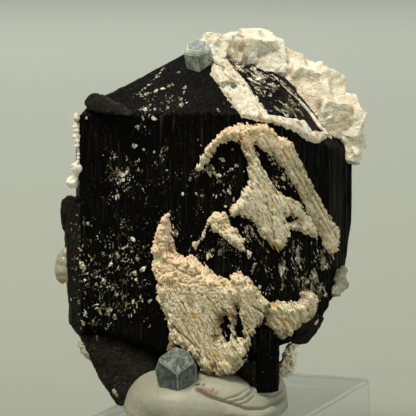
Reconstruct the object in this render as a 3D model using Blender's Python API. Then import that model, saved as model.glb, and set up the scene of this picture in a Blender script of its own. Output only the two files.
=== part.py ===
"""Black tourmaline crystal with cream feldspar crusts and three aquamarine crystals.

The specimen stands in a lump of mineral putty on a clear block.  The origin is the centre of the
block's underside, +Z is up and the display side faces -Y.  Lengths are in millimetres until a mesh
is made, and angles are in degrees until they are used.

The pieces that grew on the display side are outlined on a front view: a picture of 416 x 416
points, x to the right and y down, as seen from VIEW_DISTANCE in front and a little above.
"""

import itertools
import math
import random

import bmesh
import bpy
import numpy as np
from mathutils import Euler, Vector, noise
from mathutils.geometry import delaunay_2d_cdt

MM = 0.001
GAP = 0.3                  # room between pieces that touch

# Clear block
BLOCK_SIZE = (31.0, 46.0, 12.0)
BLOCK_TURN = -22.0
BLOCK_BEVEL = 0.5

# Front view
VIEW_POINT = 0.15          # one picture point, at the crystal's front edge
VIEW_MIDDLE = 208
VIEW_TARGET = np.array((-3.7, -14.8, 44.3))
VIEW_DISTANCE = 400.0
VIEW_DOWN = 8.0

# Main crystal: each face is its azimuth from the display side, its tilt from level and its
# distance from the crystal's middle.
CRYSTAL_MIDDLE = np.array((-3.0, 1.0, 40.0))
PRISM_FACES = {
    "front": (18.0, 90.0, 16.5),
    "front_right": (43.0, 90.0, 17.9),
    "right_front": (63.5, 90.0, 19.5),
    "right": (99.0, 90.0, 21.5),
    "right_rear": (140.5, 90.0, 19.6),
    "rear": (177.0, 90.0, 16.1),
    "left_rear": (221.0, 90.0, 17.1),
    "left_back": (246.0, 90.0, 19.0),
    "left": (281.0, 90.0, 21.1),
    "front_left": (338.0, 90.0, 12.85),
}
TIP_FACES = {
    "tip_front_left": (-24.8, 43.8, 21.75),
    "tip_front_right": (42.3, 31.7, 23.4),
    "tip_right": (69.9, 47.1, 22.7),
    "tip_right_rear": (83.0, 44.0, 23.8),
    "tip_rear": (161.6, 25.7, 22.3),
    "tip_left_rear": (-125.8, 34.8, 22.95),
    "tip_shoulder": (-93.0, 47.0, 26.4),
}
BROKEN_FACES = {
    "base": (0.0, 180.0, 20.0),
    "base_right": (90.0, 163.0, 19.4),
    "lower_right_edge": (97.0, 99.7, 21.3),
    "lower_right_corner": (96.0, 127.0, 20.9),
    "lower_left_corner": (-93.0, 132.0, 26.8),
    "fracture": (-37.0, 132.5, 22.0),
}
RIDGE_PITCH = 1.0          # fine ridges run up the prism faces
RIDGE_DEPTH = 0.32
ENVELOPE_SKIN = 0.03       # ridge tops stay this far inside the ideal faces

# Growths and broken ends joined to the main crystal, as (picture x, picture y, depth) points
GROWTHS = {
    "spike": [
        (79, 336, -2.5), (97, 353, -4.0), (99, 379, -5.0), (113, 400, -7.4), (120, 407, -8.4),
        (126, 404, -8.6), (141, 384, -8.8), (156, 372, -8.0), (168, 352, -6.0), (150, 330, -5.0),
        (100, 345, 5.0), (104, 376, 2.0), (122, 391, -2.0), (150, 372, 5.0), (160, 340, 6.0),
    ],
    "left_growth": [
        (71, 196, -2.0), (66, 236, -2.0), (68, 284, -2.0), (72, 326, -2.0), (79, 337, -2.0),
        (84, 206, -4.3), (84, 330, -4.3), (68, 200, 5.0), (66, 240, 6.0), (70, 322, 6.0),
        (95, 200, 6.0), (95, 335, 6.0), (95, 240, -1.0),
    ],
    "left_bump": [
        (69, 194, -0.5), (62, 201, -0.5), (61, 215, -0.8), (62, 229, -0.5), (67, 236, -0.8),
        (66, 200, 3.5), (64, 226, 3.5), (78, 198, -2.6), (78, 234, -2.6), (85, 215, 3.0),
    ],
    "ledge_rod": [
        (84, 104, -4.2), (88, 96, -4.4), (95, 92.5, -4.4), (104, 96, -4.6), (134, 112, -9.6),
        (130, 117, -10.6), (90, 110, -5.6), (92, 96, -1.5), (100, 98, -1.2), (128, 112, -6.5),
    ],
    "right_stump": [
        (286, 318, -12.6), (312, 308, -10.4), (325, 318, -8.0), (314, 336, -8.6), (306, 343, -9.4),
        (293, 343.5, -10.4), (284, 338, -12.0), (290, 315, -4.0), (322, 322, -2.0), (300, 340, -3.0),
    ],
    "stub_foot": [
        (236, 372, -11.8), (240, 364, -13.4), (256, 360, -14.6), (256, 386, -14.4), (247, 382, -13.4),
        (240, 378, -12.0), (256, 384, -10.0), (240, 366, -10.0),
    ],
}
STUB_CENTRE = (264, -12.0)           # picture x and depth of the ridged stub's axis
STUB_SPAN = (390, 326)               # picture y of its foot and its head
STUB_HALF_WIDTH = 2.35
STUB_SIDES = 22

# Crusts on the display side, as outlines on the front view
LOWER_CRUST = [
    (167, 215), (171, 228), (172, 252), (180, 258), (190, 257), (200, 262), (206, 269),
    (214, 276), (229, 283), (232, 275), (240, 273), (247, 279), (256, 290), (264, 299),
    (274, 303), (286, 303), (300, 301), (303, 292), (309, 292), (314, 300), (314, 310),
    (307, 319), (297, 326), (286, 338), (277, 336), (268, 325), (266, 313), (260, 322),
    (251, 334), (246, 355), (240, 365), (232, 372), (213, 374), (203, 370), (197, 359),
    (186, 349), (175, 339), (168, 318), (160, 298), (155, 270), (154, 250), (158, 232),
]
UPPER_CRUST = [
    (198, 169), (200, 159), (206, 148), (215, 138), (228, 128), (241, 124), (262, 125),
    (272, 128), (280, 137), (289, 141), (294, 148), (301, 164), (318, 199), (330, 220),
    (338, 229), (336, 251), (330, 254), (322, 238), (311, 217), (297, 193), (283, 173),
    (264, 155), (256, 150), (262, 160), (276, 176), (292, 197), (304, 212), (314, 225),
    (315, 237), (300, 231), (290, 229), (286, 241), (280, 251), (270, 244), (262, 236),
    (254, 222), (241, 214), (232, 217), (230, 210), (242, 195), (249, 180), (249, 164),
    (240, 141), (230, 139), (217, 147), (208, 158), (202, 168),
]
SMALL_PATCH = [
    (209, 221), (215, 214), (224, 214), (229, 225), (236, 231), (243, 240), (243, 252),
    (237, 247), (229, 240), (220, 231), (212, 229),
]
TOP_BAND = [
    (211, 74), (214, 64), (219, 58), (226, 61), (233, 70), (243, 80), (249, 89), (254, 98),
    (261, 108), (268, 115), (295, 120), (302, 121), (307, 127), (311, 133), (322, 133), (325, 138),
    (318, 142), (313, 142), (303, 135), (292, 128), (276, 123), (243, 116), (234, 106), (225, 95),
    (220, 85),
]
# Picture points between a crust's mesh points, its thickness, and its lumps' height
CRUST_FORM = {
    "feldspar_lower_crust": (LOWER_CRUST, 6.5, 1.9, 0.75, 3),
    "feldspar_upper_crust": (UPPER_CRUST, 5.0, 1.3, 0.5, 5),
    "feldspar_small_patch": (SMALL_PATCH, 5.0, 1.0, 0.35, 7),
    "feldspar_top_band": (TOP_BAND, 5.0, 0.7, 0.2, 9),
}
CRUST_EDGE_SHARE = 0.45    # thickness at the edge, as a share of the whole
CRUST_SHOULDER = 12.0      # picture points from the edge to full thickness
FIBRE_LEAN = 62.0          # the fibres run down and to the right
FIBRE_WIDTH, FIBRE_LENGTH = 6.0, 20.0
CRUST_FILL = 2.6           # how far a crust fills in behind the whole faces, over the broken foot
FACE_BLEND = 0.8           # how far from an edge two faces' directions still mix

# Feldspar behind the tip, as (picture x, picture y, depth, radius) lumps
BACK_LUMPS = [
    (214, 48, 1.5, 2.3), (228, 50, 3.5, 2.8), (243, 51, 5.0, 2.8), (256, 50, 6.5, 3.2),
    (270, 60, 6.5, 3.2), (282, 70, 6.5, 3.2), (297, 81, 6.5, 3.6), (311, 87, 6.0, 3.6),
    (324, 90, 5.0, 3.3), (300, 100, 5.0, 3.6), (318, 106, 3.5, 3.6), (331, 116, 1.5, 3.2),
    (344, 112, 2.0, 2.6), (350, 123, 1.5, 2.5), (350, 138, 1.5, 2.3), (350, 154, 0.8, 1.7),
    (262, 66, 10.5, 3.4), (284, 82, 11.0, 3.8), (308, 98, 10.0, 4.0), (330, 112, 8.0, 3.6),
    (240, 62, 9.5, 3.0), (296, 92, 14.0, 3.4), (322, 128, 12.0, 3.2), (268, 78, 14.5, 3.0),
]
BACK_VOXEL = 0.62
BACK_TRIANGLES = 1900
BLOCK_CUT = 0.62           # how much of a block's half side its cut corners leave

# Smaller lumps at the crystal's edges
SMALL_LUMPS = {
    "feldspar_left_crust": ([
        (76, 117, -4.6, 0.5), (75, 128, -4.4, 0.62), (76, 141, -4.4, 0.6), (77, 156, -4.6, 0.5),
        (76.5, 167, -4.4, 0.85), (75.5, 175, -4.0, 0.65), (72, 183, -3.6, 1.0),
    ], "feldspar"),
    "hyalite_drop": ([
        (69, 247, -0.8, 0.5), (66.5, 254, -0.8, 1.0), (64.5, 262, -0.8, 1.35),
        (63.5, 270, -0.8, 1.5), (64, 276, -0.8, 1.3),
    ], "hyalite"),
    "hyalite_right": ([
        (343, 271, -2.6, 0.7), (339, 277, -4.2, 0.95), (341, 284, -3.8, 1.0),
        (336, 291, -5.2, 0.85),
    ], "hyalite"),
    "feldspar_lower_right": ([
        (294, 346, -9.6, 0.7), (290, 352, -9.0, 1.1), (289, 360, -8.8, 1.2), (286, 368, -8.8, 1.2),
    ], "feldspar"),
    "quartz_chip_left": ([
        (82, 345, -2.6, 0.6), (86.5, 350.5, -2.8, 0.8), (91, 356, -3.0, 0.65),
    ], "hyalite"),
}
SMALL_VOXEL = 0.2
SMALL_TRIANGLES = 300
LUMP_CORNERS = 24

PUTTY_MIDDLE = np.array((-4.2, -4.6, 12.0))
PUTTY_HALF = (12.9, 14.0, 7.2)
PUTTY_SQUARE = 2.6         # 2 is a plain ellipsoid, more is squarer
PUTTY_FLOOR = BLOCK_SIZE[2] + GAP
PUTTY_THIN = 0.35

# Six-sided aquamarine: picture x and y and depth of its middle, then its width across flats, its
# length, its lean forward and to the right, and its turn about its own axis
TIP_AQUAMARINE = ((199.5, 58.5, -3.4), 4.1, 4.8, 24.0, -10.0, 22.0)
# Aquamarines cut to an outline on the front view: the outline, the foremost point, the back's depth,
# and the azimuth and tilt of the faces that meet at the foremost point
OUTLINED_AQUAMARINES = {
    "aquamarine_band": (
        [(220, 82.5), (224, 80.5), (234, 81.5), (238, 86), (235, 89), (226, 90), (221.5, 86.5)],
        (230, 85.5, -9.4), -6.5, [(20.0, 60.0)],
    ),
    "aquamarine_base": (
        [
            (175, 347), (160, 357), (155, 370), (158, 384), (180, 394), (195, 387), (197, 367),
            (188, 351),
        ],
        (177, 374, -17.6), -11.0, [(0.0, 62.0), (-30.0, 106.0), (28.0, 104.0)],
    ),
}


def start_empty():
    for item in list(bpy.data.objects):
        bpy.data.objects.remove(item)


def material(name, colour, roughness, transmission=0.0, ior=1.5):
    made = bpy.data.materials.new(name)
    made.use_nodes = True
    shader = made.node_tree.nodes["Principled BSDF"]
    shader.inputs["Base Color"].default_value = (*colour, 1.0)
    shader.inputs["Roughness"].default_value = roughness
    shader.inputs["Metallic"].default_value = 0.0
    shader.inputs["IOR"].default_value = ior
    shader.inputs["Transmission Weight"].default_value = transmission
    return made


def place(name, bm, finish=None):
    """Make an object of a mesh in millimetres; without a finish it is only a guide."""
    bmesh.ops.scale(bm, vec=(MM, MM, MM), verts=bm.verts)
    bmesh.ops.recalc_face_normals(bm, faces=bm.faces)
    mesh = bpy.data.meshes.new(name)
    bm.to_mesh(mesh)
    bm.free()
    made = bpy.data.objects.new(name, mesh)
    bpy.context.scene.collection.objects.link(made)
    if finish:
        mesh.materials.append(finish)
    else:
        made.hide_render = True
        made.display_type = "WIRE"
    return made


def boolean(target, operation, guides):
    """Add one Boolean to a target for each guide."""
    for guide in guides:
        step = target.modifiers.new(guide.name, "BOOLEAN")
        step.operation = operation
        step.object = guide
        step.solver = "EXACT"


# Front view

def sight(x, y):
    """Return the direction from the eye through a picture point."""
    down = math.radians(VIEW_DOWN)
    right = (x - VIEW_MIDDLE) * VIEW_POINT / VIEW_DISTANCE
    up = (VIEW_MIDDLE - y) * VIEW_POINT / VIEW_DISTANCE
    forward = np.array((0.0, math.cos(down), -math.sin(down)))
    upward = np.array((0.0, math.sin(down), math.cos(down)))
    return forward + right * np.array((1.0, 0.0, 0.0)) + up * upward


def eye():
    down = math.radians(VIEW_DOWN)
    return VIEW_TARGET - VIEW_DISTANCE * np.array((0.0, math.cos(down), -math.sin(down)))


def seen(x, y, depth):
    """Return the point at a depth along Y that shows at a picture point."""
    along = sight(x, y)
    return eye() + along * (depth - eye()[1]) / along[1]


# Crystals bounded by flat faces

def face_plane(azimuth, tilt, distance, middle=CRYSTAL_MIDDLE, grow=0.0):
    """Return a face's outward direction and its distance from the origin."""
    a, t = math.radians(azimuth), math.radians(tilt)
    normal = np.array((math.sin(t) * math.sin(a), -math.sin(t) * math.cos(a), math.cos(t)))
    return normal, distance + grow + float(normal @ middle)


def planes_of(*tables, grow=0.0):
    return [face_plane(*face, grow=grow) for table in tables for face in table.values()]


def cut_block(planes, half=60.0):
    """Return the solid that all the planes leave of a large cube."""
    bm = bmesh.new()
    bmesh.ops.create_cube(bm, size=2 * half)
    bmesh.ops.translate(bm, vec=CRYSTAL_MIDDLE, verts=bm.verts)
    for normal, distance in planes:
        everything = bm.verts[:] + bm.edges[:] + bm.faces[:]
        cut = bmesh.ops.bisect_plane(
            bm, geom=everything, plane_co=normal * distance, plane_no=normal, clear_outer=True
        )
        rim = [item for item in cut["geom_cut"] if isinstance(item, bmesh.types.BMEdge)]
        if rim:
            bmesh.ops.contextual_create(bm, geom=rim)
    return bm


def hull(points, grow=0.0):
    """Return the convex solid around some points, made larger all round by grow."""
    bm = bmesh.new()
    corners = [(0.0, 0.0, 0.0)]
    if grow:
        corners = [(i, j, k) for i in (-grow, grow) for j in (-grow, grow) for k in (-grow, grow)]
    for point in points:
        for corner in corners:
            bm.verts.new(Vector(point) + Vector(corner))
    made = bmesh.ops.convex_hull(bm, input=bm.verts)
    inner = {item for item in made["geom_interior"] if isinstance(item, bmesh.types.BMVert)}
    bmesh.ops.delete(bm, geom=list(inner), context="VERTS")
    return bm


def seen_points(points):
    return [seen(*point) for point in points]


def prism_outline():
    """Return the corners of the main prism in plan."""
    faces = [face_plane(*face) for face in PRISM_FACES.values()]
    corners = []
    for (first, near), (second, far) in zip(faces, faces[1:] + faces[:1]):
        pair = np.array((first[:2], second[:2]))
        corners.append(np.linalg.solve(pair, (near, far)))
    return corners


def ridged(corners, pitch, depth, seed):
    """Return a plan outline whose straight sides carry shallow grooves."""
    draw = random.Random(seed)
    outline = []
    middle = sum(corners) / len(corners)
    for start, end in zip(corners, corners[1:] + corners[:1]):
        side = end - start
        length = float(np.linalg.norm(side))
        inward = np.array((-side[1], side[0])) / length
        if inward @ (middle - start) < 0:
            inward = -inward
        count = max(2, 2 * round(length / pitch / 2))
        for step in range(count):
            share = (step + (0.5 * draw.random() if step else 0.0)) / count
            groove = depth * draw.uniform(0.45, 1.0) if step % 2 else 0.0
            outline.append(start + side * share + inward * (groove + ENVELOPE_SKIN))
    return outline


def column(outline, low, high):
    """Return an upright solid over a plan outline."""
    bm = bmesh.new()
    foot = [bm.verts.new((x, y, low)) for x, y in outline]
    head = [bm.verts.new((x, y, high)) for x, y in outline]
    count = len(outline)
    for i in range(count):
        j = (i + 1) % count
        bm.faces.new((foot[i], foot[j], head[j], head[i]))
    bm.faces.new(foot[::-1])
    bm.faces.new(head)
    return bm


def stub_outline():
    """Return the small ridged stub's outline in plan."""
    x, depth = STUB_CENTRE
    middle = seen(x, sum(STUB_SPAN) / 2, depth)[:2]
    outline = []
    for i in range(STUB_SIDES):
        angle = 2 * math.pi * i / STUB_SIDES
        reach = STUB_HALF_WIDTH * (1.0 if i % 2 else 0.9)
        outline.append(middle + reach * np.array((math.cos(angle), math.sin(angle))))
    return outline


def stub_levels():
    low, high = STUB_SPAN
    x, depth = STUB_CENTRE
    return seen(x, low, depth)[2], seen(x, high, depth)[2]


def build_schorl(finish):
    """Build the black crystal, with the growths and broken ends that are one with it."""
    outline = ridged(prism_outline(), RIDGE_PITCH, RIDGE_DEPTH, seed=11)
    body = place("schorl_crystal", column(outline, 10.0, 80.0), finish)
    boolean(body, "INTERSECT", [place("tip_guide", cut_block(planes_of(TIP_FACES, BROKEN_FACES)))])
    growths = [
        place(name + "_guide", hull(seen_points(points))) for name, points in GROWTHS.items()
    ]
    growths.append(place("stub_guide", column(stub_outline(), *stub_levels())))
    boolean(body, "UNION", growths)


def schorl_clearances():
    """Return guides a little larger than the black crystal, to keep other pieces off it."""
    planes = planes_of(PRISM_FACES, TIP_FACES, BROKEN_FACES, grow=GAP)
    room = {"body": place("body_room", cut_block(planes))}
    for name, points in GROWTHS.items():
        room[name] = place(name + "_room", hull(seen_points(points), GAP))
    stub = [(x, y, z) for x, y in stub_outline() for z in stub_levels()]
    room["stub"] = place("stub_room", hull(stub, GAP))
    return room


# Crusts on the display side

def entry(x, y, planes):
    """Return how far along a sight line the front of a convex solid lies."""
    along, start = sight(x, y), eye()
    return max((d - n @ start) / (n @ along) for n, d in planes if n @ along < 0)


def inside(x, y, outline):
    """Say whether a picture point is inside an outline."""
    crossings = 0
    for (xa, ya), (xb, yb) in zip(outline, outline[1:] + outline[:1]):
        if (ya > y) != (yb > y) and x < xa + (y - ya) * (xb - xa) / (yb - ya):
            crossings += 1
    return crossings % 2 == 1


def edge_distance(x, y, outline):
    """Return a picture point's distance to the nearest side of an outline."""
    best = math.inf
    for start, end in zip(outline, outline[1:] + outline[:1]):
        a, side = np.array(start, float), np.subtract(end, start).astype(float)
        share = min(1.0, max(0.0, float((np.array((x, y)) - a) @ side / (side @ side))))
        best = min(best, float(np.linalg.norm(a + side * share - (x, y))))
    return best


def divided(outline, pitch):
    """Return an outline with no side much longer than pitch."""
    points = []
    for start, end in zip(outline, outline[1:] + outline[:1]):
        count = max(1, round(math.dist(start, end) / pitch))
        points += [np.add(start, np.subtract(end, start) * k / count) for k in range(count)]
    return points


def filling(outline, pitch, seed):
    """Return scattered picture points that fill an outline evenly."""
    draw = random.Random(seed)
    xs, ys = zip(*outline)
    points = []
    for row in range(int((max(ys) - min(ys)) / pitch) + 1):
        for column_number in range(int((max(xs) - min(xs)) / pitch) + 1):
            x = min(xs) + pitch * (column_number + 0.5 * (row % 2) + draw.uniform(-0.25, 0.25))
            y = min(ys) + pitch * (row + draw.uniform(-0.25, 0.25))
            if inside(x, y, outline) and edge_distance(x, y, outline) > 0.55 * pitch:
                points.append(np.array((x, y)))
    return points


def fibre_noise(x, y, seed):
    """Return noise drawn out along the fibres, from -1 to 1."""
    lean = math.radians(FIBRE_LEAN)
    along = x * math.cos(lean) + y * math.sin(lean)
    across = x * math.sin(lean) - y * math.cos(lean)
    return noise.noise(Vector((across / FIBRE_WIDTH, along / FIBRE_LENGTH, seed)))


def outward(point, planes):
    """Return the direction away from a convex solid, blended over its nearest faces."""
    total = np.zeros(3)
    for normal, distance in planes:
        total += normal * math.exp((float(normal @ point) - distance) / FACE_BLEND)
    return total / np.linalg.norm(total)


def build_crust(name, finish):
    """Build one crust as a closed layer that follows the crystal's faces."""
    outline, pitch, thickness, lump, seed = CRUST_FORM[name]
    planes = planes_of(PRISM_FACES, TIP_FACES, grow=GAP)
    broken = planes_of(PRISM_FACES, TIP_FACES, BROKEN_FACES, grow=GAP)
    rim = divided(outline, pitch)
    points = rim + filling(outline, pitch, seed)
    loop = [list(range(len(rim)))]
    flat = delaunay_2d_cdt([Vector(p) for p in points], [], loop, 1, 1e-5)
    verts, triangles = flat[0], flat[2]
    edge_share, middle_share = CRUST_EDGE_SHARE, 1.0 - CRUST_EDGE_SHARE
    bm = bmesh.new()
    backs, fronts = [], []
    for x, y in verts:
        depth = min(1.0, edge_distance(x, y, outline) / CRUST_SHOULDER)
        height = thickness * (edge_share + middle_share * math.sin(depth * math.pi / 2))
        height += lump * fibre_noise(x, y, seed) * min(1.0, 0.3 + depth)
        reach = entry(x, y, planes)
        face = eye() + reach * sight(x, y)
        reach = min(entry(x, y, broken), reach + CRUST_FILL)
        backs.append(bm.verts.new(eye() + reach * sight(x, y)))
        fronts.append(bm.verts.new(face + height * outward(face, planes)))
    used = {}
    for a, b, c in triangles:
        bm.faces.new((fronts[a], fronts[b], fronts[c]))
        bm.faces.new((backs[c], backs[b], backs[a]))
        for pair in ((a, b), (b, c), (c, a)):
            used[pair] = True
    for a, b in used:
        if (b, a) not in used:
            bm.faces.new((fronts[b], fronts[a], backs[a], backs[b]))
    return place(name, bm, finish)


# Aquamarine crystals

def outlined_planes(form, grow=0.0):
    """Return the faces of a crystal that fills an outline on the front view."""
    outline, peak, back, faces = form
    middle = seen(peak[0], peak[1], (peak[2] + back) / 2)
    planes = [(np.array((0.0, 1.0, 0.0)), back + grow)]
    for start, end in zip(outline, outline[1:] + outline[:1]):
        normal = np.cross(sight(*start), sight(*end))
        normal *= math.copysign(1.0, normal @ (eye() - middle)) / np.linalg.norm(normal)
        planes.append((normal, float(normal @ eye()) + grow))
    for azimuth, tilt in faces:
        normal = face_plane(azimuth, tilt, 0.0)[0]
        planes.append((normal, float(normal @ seen(*peak)) + grow))
    return planes


def beryl_points(form):
    """Return the corners of a hexagonal crystal with bevelled ends."""
    middle, width, length, lean_front, lean_right, turn = form
    lean_front, lean_right = math.radians(lean_front), math.radians(lean_right)
    axis = np.array((
        math.sin(lean_right), -math.sin(lean_front) * math.cos(lean_right),
        math.cos(lean_front) * math.cos(lean_right),
    ))
    side = np.cross(axis, (0.0, 1.0, 0.0))
    side /= np.linalg.norm(side)
    other = np.cross(axis, side)
    half, reach = length / 2, width / 2 / math.cos(math.pi / 6)
    points = []
    for along, spread in ((-half, 0.8), (-0.8 * half, 1.0), (0.76 * half, 1.0), (half, 0.72)):
        for k in range(6):
            angle = math.radians(60 * k + turn)
            around = math.cos(angle) * side + math.sin(angle) * other
            points.append(seen(*middle) + axis * along + around * reach * spread)
    return points


# Lumps of feldspar, hyalite and quartz

def round_lump(middle, radius, draw):
    """Return the corners of a roughly round lump."""
    points = []
    for k in range(LUMP_CORNERS):
        height = 1 - 2 * (k + 0.5) / LUMP_CORNERS
        turn = k * math.pi * (3 - math.sqrt(5)) + draw.uniform(-0.3, 0.3)
        ring = math.sqrt(1 - height * height)
        reach = radius * draw.uniform(0.85, 1.12)
        direction = np.array((ring * math.cos(turn), ring * math.sin(turn), height))
        points.append(middle + reach * direction)
    return points


def blocky_lump(middle, radius, draw):
    """Return the corners of a turned block with cut corners."""
    turn = Euler([draw.uniform(-0.5, 0.5) for axis in range(3)]).to_matrix()
    half = [radius * draw.uniform(0.72, 0.92) for axis in range(3)]
    points = []
    for signs in itertools.product((-1, 1), repeat=3):
        for short in range(3):
            corner = [s * h * (BLOCK_CUT if k == short else 1.0)
                      for k, (s, h) in enumerate(zip(signs, half))]
            points.append(middle + np.array(turn @ Vector(corner)))
    return points


def build_lumps(name, lumps, finish, shape, voxel, triangles, seed):
    """Build one closed body of lumps, given as picture x and y, depth and radius."""
    draw = random.Random(seed)
    whole = bmesh.new()
    for x, y, depth, radius in lumps:
        one = hull(shape(seen(x, y, depth), radius, draw))
        mesh = bpy.data.meshes.new("lump")
        one.to_mesh(mesh)
        one.free()
        whole.from_mesh(mesh)
        bpy.data.meshes.remove(mesh)
    made = place(name, whole, finish)
    remesh = made.modifiers.new("join", "REMESH")
    remesh.mode = "VOXEL"
    remesh.voxel_size = voxel * MM
    seen_mesh = made.evaluated_get(bpy.context.evaluated_depsgraph_get()).data
    seen_mesh.calc_loop_triangles()
    thin = made.modifiers.new("thin", "DECIMATE")
    thin.ratio = min(1.0, triangles / max(1, len(seen_mesh.loop_triangles)))
    return made


def strung(points, step=0.45):
    """Return a line of lumps with more lumps between them, so that they join."""
    lumps = []
    for start, end in zip(points, points[1:]):
        count = max(1, math.ceil(math.dist(start[:2], end[:2]) * VIEW_POINT / step))
        lumps += [tuple(np.add(start, np.subtract(end, start) * k / count)) for k in range(count)]
    return lumps + [points[-1]]


# Putty

def build_putty(finish):
    """Build the pressed lump of putty, as a flattened dome."""
    bm = bmesh.new()
    bmesh.ops.create_icosphere(bm, subdivisions=4, radius=1.0)
    for vert in bm.verts:
        power = sum(abs(c) ** PUTTY_SQUARE for c in vert.co) ** (-1 / PUTTY_SQUARE)
        wave = 1.0 + 0.05 * noise.noise(vert.co * 2.2)
        spot = PUTTY_MIDDLE + np.array(vert.co) * power * wave * PUTTY_HALF
        spot[2] = max(spot[2], PUTTY_FLOOR)
        vert.co = spot
    flat = [f for f in bm.faces if all(v.co.z <= PUTTY_FLOOR + 1e-6 for v in f.verts)]
    bmesh.ops.dissolve_faces(bm, faces=flat, use_verts=True)
    made = place("mineral_putty", bm, finish)
    thin = made.modifiers.new("thin", "DECIMATE")
    thin.ratio = PUTTY_THIN
    return made


def build_block(finish):
    bm = bmesh.new()
    bmesh.ops.create_cube(bm, size=1.0)
    bmesh.ops.scale(bm, vec=BLOCK_SIZE, verts=bm.verts)
    bmesh.ops.translate(bm, vec=(0.0, 0.0, BLOCK_SIZE[2] / 2), verts=bm.verts)
    bmesh.ops.bevel(bm, geom=bm.edges[:], offset=BLOCK_BEVEL, segments=2, affect="EDGES")
    made = place("acrylic_base", bm, finish)
    made.rotation_euler = (0.0, 0.0, math.radians(BLOCK_TURN))
    return made


def main():
    start_empty()
    black = material("black_tourmaline", (0.012, 0.012, 0.013), 0.28)
    cream = material("cream_feldspar", (0.75, 0.64, 0.50), 0.75)
    blue = material("aquamarine", (0.62, 0.74, 0.76), 0.05, 1.0, 1.577)
    hyalite = material("hyalite", (0.80, 0.76, 0.68), 0.08, 0.8, 1.46)
    grey = material("putty", (0.62, 0.60, 0.53), 0.5)
    clear = material("clear_acrylic", (0.95, 0.97, 0.96), 0.02, 1.0, 1.49)

    build_schorl(black)
    room = schorl_clearances()
    corners = beryl_points(TIP_AQUAMARINE)
    crystals = [place("aquamarine_top", hull(corners), blue)]
    beryl_room = {"aquamarine_top": place("aquamarine_top_room", hull(corners, GAP))}
    for name, form in OUTLINED_AQUAMARINES.items():
        crystals.append(place(name, cut_block(outlined_planes(form)), blue))
        beryl_room[name] = place(name + "_room", cut_block(outlined_planes(form, GAP)))
    for crystal in crystals:
        boolean(crystal, "DIFFERENCE", [room["body"], room["spike"]])

    growths = [guide for part, guide in room.items() if part != "body"]
    for name in CRUST_FORM:
        boolean(build_crust(name, cream), "DIFFERENCE", [*beryl_room.values(), *growths])

    back_mass = build_lumps(
        "feldspar_back_mass", BACK_LUMPS, cream, blocky_lump, BACK_VOXEL, BACK_TRIANGLES, seed=21
    )
    near = [room["body"], beryl_room["aquamarine_top"], beryl_room["aquamarine_band"]]
    boolean(back_mass, "DIFFERENCE", near)

    finishes = {"feldspar": cream, "hyalite": hyalite}
    for seed, (name, (lumps, finish)) in enumerate(SMALL_LUMPS.items(), start=30):
        piece = build_lumps(
            name, strung(lumps), finishes[finish], round_lump, SMALL_VOXEL, SMALL_TRIANGLES, seed
        )
        boolean(piece, "DIFFERENCE", room.values())

    boolean(build_putty(grey), "DIFFERENCE", [*room.values(), beryl_room["aquamarine_base"]])
    build_block(clear)


main()
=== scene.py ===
"""Dressed aquamarine specimen: black tourmaline, feldspar crusts and aquamarines on a clear block.

Shapes are worked out in millimetres and made in metres.  Growths on the display side are placed on a
front view of 416 x 416 points, x to the right and y down, which is also the camera's view.
"""

import itertools
import math
import random

import bmesh
import bpy
import numpy as np
from mathutils import Euler, Matrix, Vector
from mathutils.bvhtree import BVHTree
from mathutils.geometry import delaunay_2d_cdt


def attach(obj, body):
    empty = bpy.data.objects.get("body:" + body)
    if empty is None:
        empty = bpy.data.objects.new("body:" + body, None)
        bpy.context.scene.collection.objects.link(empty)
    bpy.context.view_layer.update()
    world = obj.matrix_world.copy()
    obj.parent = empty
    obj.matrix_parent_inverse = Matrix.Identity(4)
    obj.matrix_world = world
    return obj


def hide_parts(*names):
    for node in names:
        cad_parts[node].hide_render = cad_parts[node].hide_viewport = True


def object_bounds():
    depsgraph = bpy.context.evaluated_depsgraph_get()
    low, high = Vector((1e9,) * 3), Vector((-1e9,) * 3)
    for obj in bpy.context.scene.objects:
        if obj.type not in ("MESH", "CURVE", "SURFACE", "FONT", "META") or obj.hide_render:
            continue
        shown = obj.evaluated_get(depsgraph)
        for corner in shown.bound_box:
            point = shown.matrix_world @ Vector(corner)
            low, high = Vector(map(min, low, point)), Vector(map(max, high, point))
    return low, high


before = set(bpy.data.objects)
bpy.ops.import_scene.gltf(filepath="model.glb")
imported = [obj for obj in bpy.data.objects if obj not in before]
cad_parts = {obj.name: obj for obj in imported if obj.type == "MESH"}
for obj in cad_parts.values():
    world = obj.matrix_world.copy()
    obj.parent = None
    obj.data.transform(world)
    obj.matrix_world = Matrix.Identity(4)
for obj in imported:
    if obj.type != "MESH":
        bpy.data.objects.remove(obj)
CAD_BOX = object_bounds()

MM = 0.001
BODY = "root"
LATTICE = 48               # noise repeats after this many cells
HOLLOW_PASSES = 8          # rounds of smoothing that show how hollow a spot is

# Front view and camera
VIEW_POINT = 0.15
VIEW_MIDDLE = 208
VIEW_TARGET = np.array((-3.7, -14.8, 44.3))
VIEW_DISTANCE = 400.0
VIEW_DOWN = math.radians(8.0)
SENSOR = 36.0
LENS = SENSOR * VIEW_DISTANCE / (2 * VIEW_MIDDLE * VIEW_POINT)
FORWARD = np.array((0.0, math.cos(VIEW_DOWN), -math.sin(VIEW_DOWN)))
RIGHT = np.array((1.0, 0.0, 0.0))
UPWARD = np.array((0.0, math.sin(VIEW_DOWN), math.cos(VIEW_DOWN)))
EYE = VIEW_TARGET - VIEW_DISTANCE * FORWARD

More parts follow.
